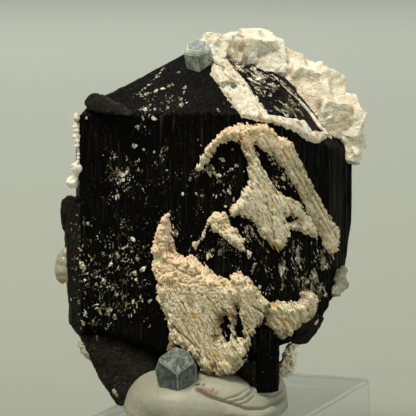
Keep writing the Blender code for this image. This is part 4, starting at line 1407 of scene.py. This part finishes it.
# Flakes along a line: count, size in mm, spread in picture points, and the line
FLAKE_LINES = [
    (38, 0.1, 1.0, [(134, 98), (150, 84), (165, 68)]),
    (34, 0.13, 0.7, [(140, 97), (156, 91), (173, 85)]),
    (90, 0.14, 0.9, [(281, 82), (298, 98), (310, 111), (320, 125), (331, 138)]),
    (30, 0.14, 1.2, [(268, 155), (280, 170), (296, 192)]),
    (26, 0.12, 1.5, [(272, 178), (284, 190)]),
    (24, 0.12, 1.0, [(248, 226), (258, 240), (268, 252)]),
    (40, 0.13, 0.8, [(262, 108), (256, 98), (250, 92)]),
    (26, 0.12, 1.0, [(283, 246), (284, 262), (283, 280), (282, 292)]),
]
FLAKES_LEAN_FROM = 235     # from here to the right, flakes are streaks that lean left
# Breadth as the middle of a log-normal draw, longest length for it, lean and its spread
STREAKS = (-0.95, 7.0, -0.45, 0.25)
SPECKS = (-0.75, 3.6, 0.1, 0.6)
FLAKES_A_KNOT = 6
CHIP_SMALLEST, CHIP_LARGEST = (0.7, 0.7, 0.8), (1.3, 1.3, 1.2)
CHIP_ROUGHNESS = 1.9       # for a chip's size
CHIP_GRAIN = 0.24          # width of the roughness, in millimetres
FLAKE_ROOM = 0.4           # kept free at the crystal's left edge
# Single flakes: picture x and y, half length and half width in mm, lean in degrees from upright
FLAKES = [
    (181, 99, 0.42, 0.55, 30), (181, 106, 0.3, 0.6, 10), (168, 108, 0.5, 0.3, 35),
    (145, 110, 0.3, 0.55, 50), (155, 118, 0.3, 0.42, 20), (149.5, 115.5, 0.35, 0.25, 20),
    (155, 109, 0.3, 0.25, 0), (185, 87.5, 0.4, 0.24, 10), (184, 93, 0.3, 0.16, 10),
    (179, 72.5, 0.28, 0.28, 0), (137.5, 127, 0.7, 0.42, -15), (134.6, 146, 0.45, 0.3, 10),
    (144, 150, 0.25, 0.2, 0), (154, 152, 0.25, 0.2, 0), (161.6, 151.7, 0.3, 0.16, 0),
    (167, 149, 0.45, 0.18, 25), (160, 155.7, 0.2, 0.25, 0), (196.6, 169, 0.3, 0.26, 0),
    (218.5, 111, 0.16, 0.5, 75), (233, 107, 0.3, 0.3, 40), (86.6, 118.4, 0.2, 0.25, 0),
    (133, 239, 0.55, 0.24, -30), (137, 258, 0.6, 0.25, -12), (135, 273, 0.42, 0.35, 20),
    (143, 269, 0.65, 0.4, 35), (82, 265, 0.85, 0.35, -18), (84, 268, 0.4, 0.3, -30),
    (117, 295, 0.35, 0.25, -40), (122, 293, 0.35, 0.2, 30), (123, 298, 0.3, 0.3, 0),
    (115, 316, 0.45, 0.42, 0), (110.5, 309, 0.4, 0.3, 0), (83.5, 323, 0.35, 0.5, 40),
    (86, 293, 0.45, 0.3, -10), (97, 284, 0.35, 0.25, 0), (103, 253, 0.28, 0.3, 0),
    (104, 306, 0.25, 0.25, 0), (126, 305, 0.3, 0.2, 0), (79, 302, 0.3, 0.2, 20),
    (176, 232, 0.42, 0.5, 60), (209, 256, 0.9, 0.34, 35), (195, 244, 0.3, 0.3, 0),
    (222.5, 160, 0.75, 0.42, -35), (213, 168, 0.35, 0.45, 50), (231, 169.5, 0.3, 0.35, 0),
    (236, 166, 0.25, 0.3, 0), (219.6, 176, 0.3, 0.36, 50), (233, 149.5, 0.2, 0.2, 0),
    (234.5, 200, 0.75, 0.26, -25), (225.5, 206.5, 0.2, 0.25, 0), (183, 194, 0.45, 0.25, 30),
    (197, 194, 0.3, 0.3, 20), (202, 196, 0.3, 0.2, 0), (248.5, 253, 0.9, 0.3, -20),
    (254, 266, 0.6, 0.3, 35), (252, 271, 0.3, 0.35, 0), (297, 260, 0.7, 0.5, -35),
    (300, 267, 0.4, 0.24, -20), (283, 268, 0.6, 0.28, 0), (282, 278, 0.4, 0.16, 10),
    (281.5, 286, 0.6, 0.24, 0), (260, 287, 0.4, 0.36, -10), (302, 278, 0.45, 0.26, 40),
    (298, 281, 0.2, 0.4, 60), (321, 268, 0.8, 0.16, -20), (320, 291, 0.7, 0.18, -20),
    (312, 290, 0.6, 0.16, -20), (317, 322, 0.6, 0.26, 20), (331, 262, 0.5, 0.2, -25),
    (316, 238, 0.5, 0.15, -20), (115.5, 393.5, 0.75, 0.28, -38), (254, 83, 0.5, 0.4, 30),
    (257, 89, 0.4, 0.5, 50), (294, 105, 0.5, 0.45, -35), (270, 96, 0.5, 0.18, 40),
    (97, 337, 0.24, 0.4, 60),
]


def flake_tree():
    """Set one rough chip on each point, turned and sized as the point says."""
    tree = bpy.data.node_groups.new("flakes_on_points", "GeometryNodeTree")
    for title, direction, kind in (
        ("Geometry", "INPUT", "NodeSocketGeometry"),
        ("Roughness", "INPUT", "NodeSocketFloat"),
        ("Grain", "INPUT", "NodeSocketFloat"),
        ("Seed", "INPUT", "NodeSocketInt"),
        ("Finish", "INPUT", "NodeSocketMaterial"),
        ("Geometry", "OUTPUT", "NodeSocketGeometry"),
    ):
        tree.interface.new_socket(title, in_out=direction, socket_type=kind)
    given = tree.nodes.new("NodeGroupInput").outputs
    result = tree.nodes.new("NodeGroupOutput").inputs

    def add(kind, out, sockets, **settings):
        """Add a node with its settings and its sockets' values or links; return one output."""
        node = tree.nodes.new(kind)
        for setting, value in settings.items():
            setattr(node, setting, value)
        for socket, value in sockets.items():
            if isinstance(value, bpy.types.NodeSocket):
                tree.links.new(value, node.inputs[socket])
            else:
                node.inputs[socket].default_value = value
        return node.outputs[out]

    turn, size = (
        add("GeometryNodeInputNamedAttribute", "Attribute", {"Name": title}, data_type="FLOAT_VECTOR")
        for title in ("turn", "size")
    )
    points = add("GeometryNodeMeshToPoints", "Points", {"Mesh": given["Geometry"]})
    chip = add("GeometryNodeMeshIcoSphere", "Mesh", {"Radius": 1.0, "Subdivisions": 1})
    turn = add("FunctionNodeEulerToRotation", "Rotation", {"Euler": turn})
    span = {"Min": CHIP_SMALLEST, "Max": CHIP_LARGEST, "Seed": given["Seed"]}
    vary = add("FunctionNodeRandomValue", "Value", span, data_type="FLOAT_VECTOR")
    scale = add("ShaderNodeVectorMath", "Vector", {0: size, 1: vary}, operation="MULTIPLY")
    where = {"Points": points, "Instance": chip, "Rotation": turn, "Scale": scale}
    chips = add("GeometryNodeInstanceOnPoints", "Instances", where)
    real = add("GeometryNodeRealizeInstances", "Geometry", {"Geometry": chips})
    grit = add("ShaderNodeTexNoise", "Color", {"Scale": given["Grain"]})
    grit = add("ShaderNodeVectorMath", "Vector", {0: grit, 1: (0.5,) * 3}, operation="SUBTRACT")
    width = add("ShaderNodeVectorMath", "Value", {0: size}, operation="LENGTH")
    reach = add("ShaderNodeMath", "Value", {0: width, 1: given["Roughness"]}, operation="MULTIPLY")
    shift = add("ShaderNodeVectorMath", "Vector", {0: grit, "Scale": reach}, operation="SCALE")
    rough_chips = add("GeometryNodeSetPosition", "Geometry", {"Geometry": real, "Offset": shift})
    dressed = {"Geometry": rough_chips, "Material": given["Finish"]}
    tree.links.new(add("GeometryNodeSetMaterial", "Geometry", dressed), result["Geometry"])
    return tree


def scatter(name, tree, spots, turns, sizes, finish, seed):
    """Make one piece of chips on points."""
    mesh = bpy.data.meshes.new(name)
    mesh.from_pydata((np.asarray(spots) * MM).tolist(), [], [])
    for title, values in (("turn", np.asarray(turns)), ("size", np.asarray(sizes) * MM)):
        layer_data = mesh.attributes.new(title, "FLOAT_VECTOR", "POINT")
        layer_data.data.foreach_set("vector", values.astype(np.float32).ravel())
    carrier = add_object(name, mesh)
    grow = carrier.modifiers.new("flakes", "NODES")
    grow.node_group = tree
    grain = 1.0 / (CHIP_GRAIN * MM)
    given = {"Roughness": CHIP_ROUGHNESS, "Grain": grain, "Seed": seed, "Finish": finish[0]}
    for socket in tree.interface.items_tree:
        if socket.name in given:
            grow[socket.identifier] = given[socket.name]
    made = settled(carrier)
    carrier.modifiers.clear()
    carrier.data = made
    bpy.data.meshes.remove(mesh)
    dress(carrier, finish, [])
    return carrier


def flake_spots(draw):
    """Return the flakes' picture points, their half sizes and their leans in radians."""
    xy, half, lean = [], [], []
    for x, y, wide, high, count, size in FLAKE_GROUPS:
        knots = draw.normal(0.0, 0.45, (count // FLAKES_A_KNOT + 1, 2)) * (wide, high)
        spread = draw.normal(0.0, 2.8, (count, 2))
        xy.append(knots[draw.integers(0, len(knots), count)] + spread + (x, y))
        middle, longest, leaning, unsteady = STREAKS if x > FLAKES_LEAN_FROM else SPECKS
        breadth = size * draw.lognormal(middle, 0.65, count)
        length = breadth * draw.uniform(1.1, longest, count)
        half.append(np.column_stack((breadth, length, 0.8 * breadth)))
        lean.append(draw.normal(leaning, unsteady, count))
    for count, size, spread, line in FLAKE_LINES:
        corners = np.array(line, float)
        share = draw.uniform(0, len(line) - 1, count)
        near = np.minimum(share.astype(int), len(line) - 2)
        side = corners[near + 1] - corners[near]
        xy.append(corners[near] + side * (share - near)[:, None] + draw.normal(0, spread, (count, 2)))
        breadth = size * draw.lognormal(-0.2, 0.35, count)
        half.append(np.column_stack((breadth, 1.8 * breadth, 0.8 * breadth)))
        lean.append(np.arctan2(side[:, 0], -side[:, 1]) + draw.normal(0, 0.3, count))
    xy.append(np.array([flake[:2] for flake in FLAKES], float))
    half.append(np.array([(flake[3], flake[2], 0.2) for flake in FLAKES]))
    lean.append(np.radians([flake[4] for flake in FLAKES]))
    return np.vstack(xy), np.vstack(half), np.concatenate(lean)


def build_flakes(tree, finish, blacks):
    """Scatter white flakes over the black faces, in their groups, lines and singly."""
    xy, half, lean = flake_spots(np.random.default_rng(141))
    met, spots, away = hits(xy, blacks)
    half, lean = half[met], lean[met]
    facing = np.sum(away * sights(xy[met]), axis=1) < -0.2
    within = spots[:, 0] > CAD_BOX[0][0] / MM + FLAKE_ROOM
    kept = facing & within
    turns = []
    for normal, angle in zip(away[kept], lean[kept]):
        up = Vector((math.sin(angle), 0.0, math.cos(angle)))
        out = Vector(normal)
        side = up.cross(out).normalized()
        along = out.cross(side)
        turns.append(Matrix((side, along, out)).transposed().to_euler())
    return scatter("feldspar_flakes", tree, spots[kept], turns, half[kept], finish, 143)


# Stage

FLOOR_SIZE = 9.0
SKY_GLOW = {"From Min": 0.1, "From Max": 0.45, "To Min": 0.46, "To Max": 0.14}
SKY_COLOUR = (0.95, 0.97, 0.92, 1.0)
# Soft lights: place and width in metres, power and colour
LAMPS = {
    "key": ((-0.3, -0.3, 0.95), 0.4, 10.5, (1.0, 0.96, 0.88)),
    "fill": ((0.75, -0.5, 0.45), 0.6, 2.6, (0.95, 0.98, 1.0)),
    "back": ((-0.1, 0.9, 0.9), 0.7, 6.0, (1.0, 0.98, 0.94)),
}
LAMP_AIM = Vector((0.0, 0.0, 0.04))


def build_stage():
    """Lay a wide pale floor, and set soft lights and the camera."""
    bm = bmesh.new()
    bmesh.ops.create_grid(bm, x_segments=8, y_segments=8, size=FLOOR_SIZE / 2)
    mesh = bpy.data.meshes.new("floor")
    bm.to_mesh(mesh)
    bm.free()
    floor = add_object("floor", mesh)
    mesh.materials.append(floor_finish())

    world = bpy.data.worlds.new("studio")
    world.use_nodes = True
    sky = world.node_tree.nodes["Background"]
    where = world.node_tree.nodes.new("ShaderNodeTexCoord")
    height = world.node_tree.nodes.new("ShaderNodeSeparateXYZ")
    glow = world.node_tree.nodes.new("ShaderNodeMapRange")
    for socket, value in SKY_GLOW.items():
        glow.inputs[socket].default_value = value
    world.node_tree.links.new(where.outputs["Generated"], height.inputs["Vector"])
    world.node_tree.links.new(height.outputs["Z"], glow.inputs["Value"])
    world.node_tree.links.new(glow.outputs["Result"], sky.inputs["Strength"])
    sky.inputs["Color"].default_value = SKY_COLOUR
    bpy.context.scene.world = world

    for name, (spot, width, power, colour) in LAMPS.items():
        lamp = bpy.data.lights.new(name, "AREA")
        lamp.shape = "SQUARE"
        lamp.size = width
        lamp.energy = power
        lamp.color = colour
        holder = add_object(name, lamp)
        holder.location = spot
        aim = LAMP_AIM - Vector(spot)
        holder.rotation_euler = aim.to_track_quat("-Z", "Y").to_euler()

    lens = bpy.data.cameras.new("camera")
    lens.lens = LENS
    lens.sensor_width = SENSOR
    lens.clip_start = 0.05
    lens.clip_end = 30.0
    camera = add_object("camera", lens)
    camera.location = EYE * MM
    camera.rotation_euler = (math.pi / 2 - VIEW_DOWN, 0.0, 0.0)
    bpy.context.scene.camera = camera
    bpy.context.scene.view_settings.view_transform = "Standard"


def main():
    build_stage()
    black = tourmaline_finish()
    broken = broken_finish()
    cream, bright, pale, brown = (feldspar_finish(name, *form) for name, form in FELDSPARS.items())
    milky = hyalite_finish()

    blacks = [build_crystal(black), build_growths(broken), build_stub(black)]
    for name in CRUSTS:
        build_crust(name, bright if name == "feldspar_top_band" else cream)
    build_back_mass(pale)
    build_lumps("feldspar_left_crust", LEFT_BEADS, bright, 0.13, 151, "round")
    build_lumps("hyalite_drop", HYALITE_DROP, milky, 0.13, 161, "smooth", 0.03, DROP_RUST)
    build_lumps("hyalite_right", HYALITE_RIGHT, milky, 0.13, 171, "blocky", 0.14)
    build_lumps("feldspar_lower_right", LOWER_RIGHT, pale, 0.14, 181, "blocky", 0.14)
    build_lumps("quartz_chip_left", QUARTZ_CHIP, milky, 0.11, 191, "blocky")
    build_lumps("shoulder_line", resting(strung(SHOULDER_LINE)), bright, 0.08, 221, "round", nodes=[])
    build_lumps("gem_strip", GEM_STRIP, bright, 0.1, 231, "round", nodes=[])
    build_lumps("patch_trail", resting(PATCH_TRAIL), cream, 0.08, 201, "round", nodes=[])
    build_lumps("brown_rock", resting(BROWN_ROCK), brown, 0.12, 211, "blocky", nodes=[])
    build_beryl(
        "aquamarine_top", tip_crystal(), beryl_finish("pale_aquamarine", 0.25, 60.0, 1.1, 0.1),
        tip_facet_shading,
    )
    blue = beryl_finish("aquamarine", 0.6, 120.0, 0.8, 0.6)
    for name, form in OUTLINED_AQUAMARINES.items():
        build_beryl(name, outlined_crystal(*form), blue, front_facet_shading)
    build_putty(putty_finish())
    build_flakes(flake_tree(), chip_finish(), blacks)

    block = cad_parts["acrylic_base"]
    clear = acrylic_finish()
    for holder in block.material_slots:
        holder.material = clear

    bpy.context.view_layer.update()


main()
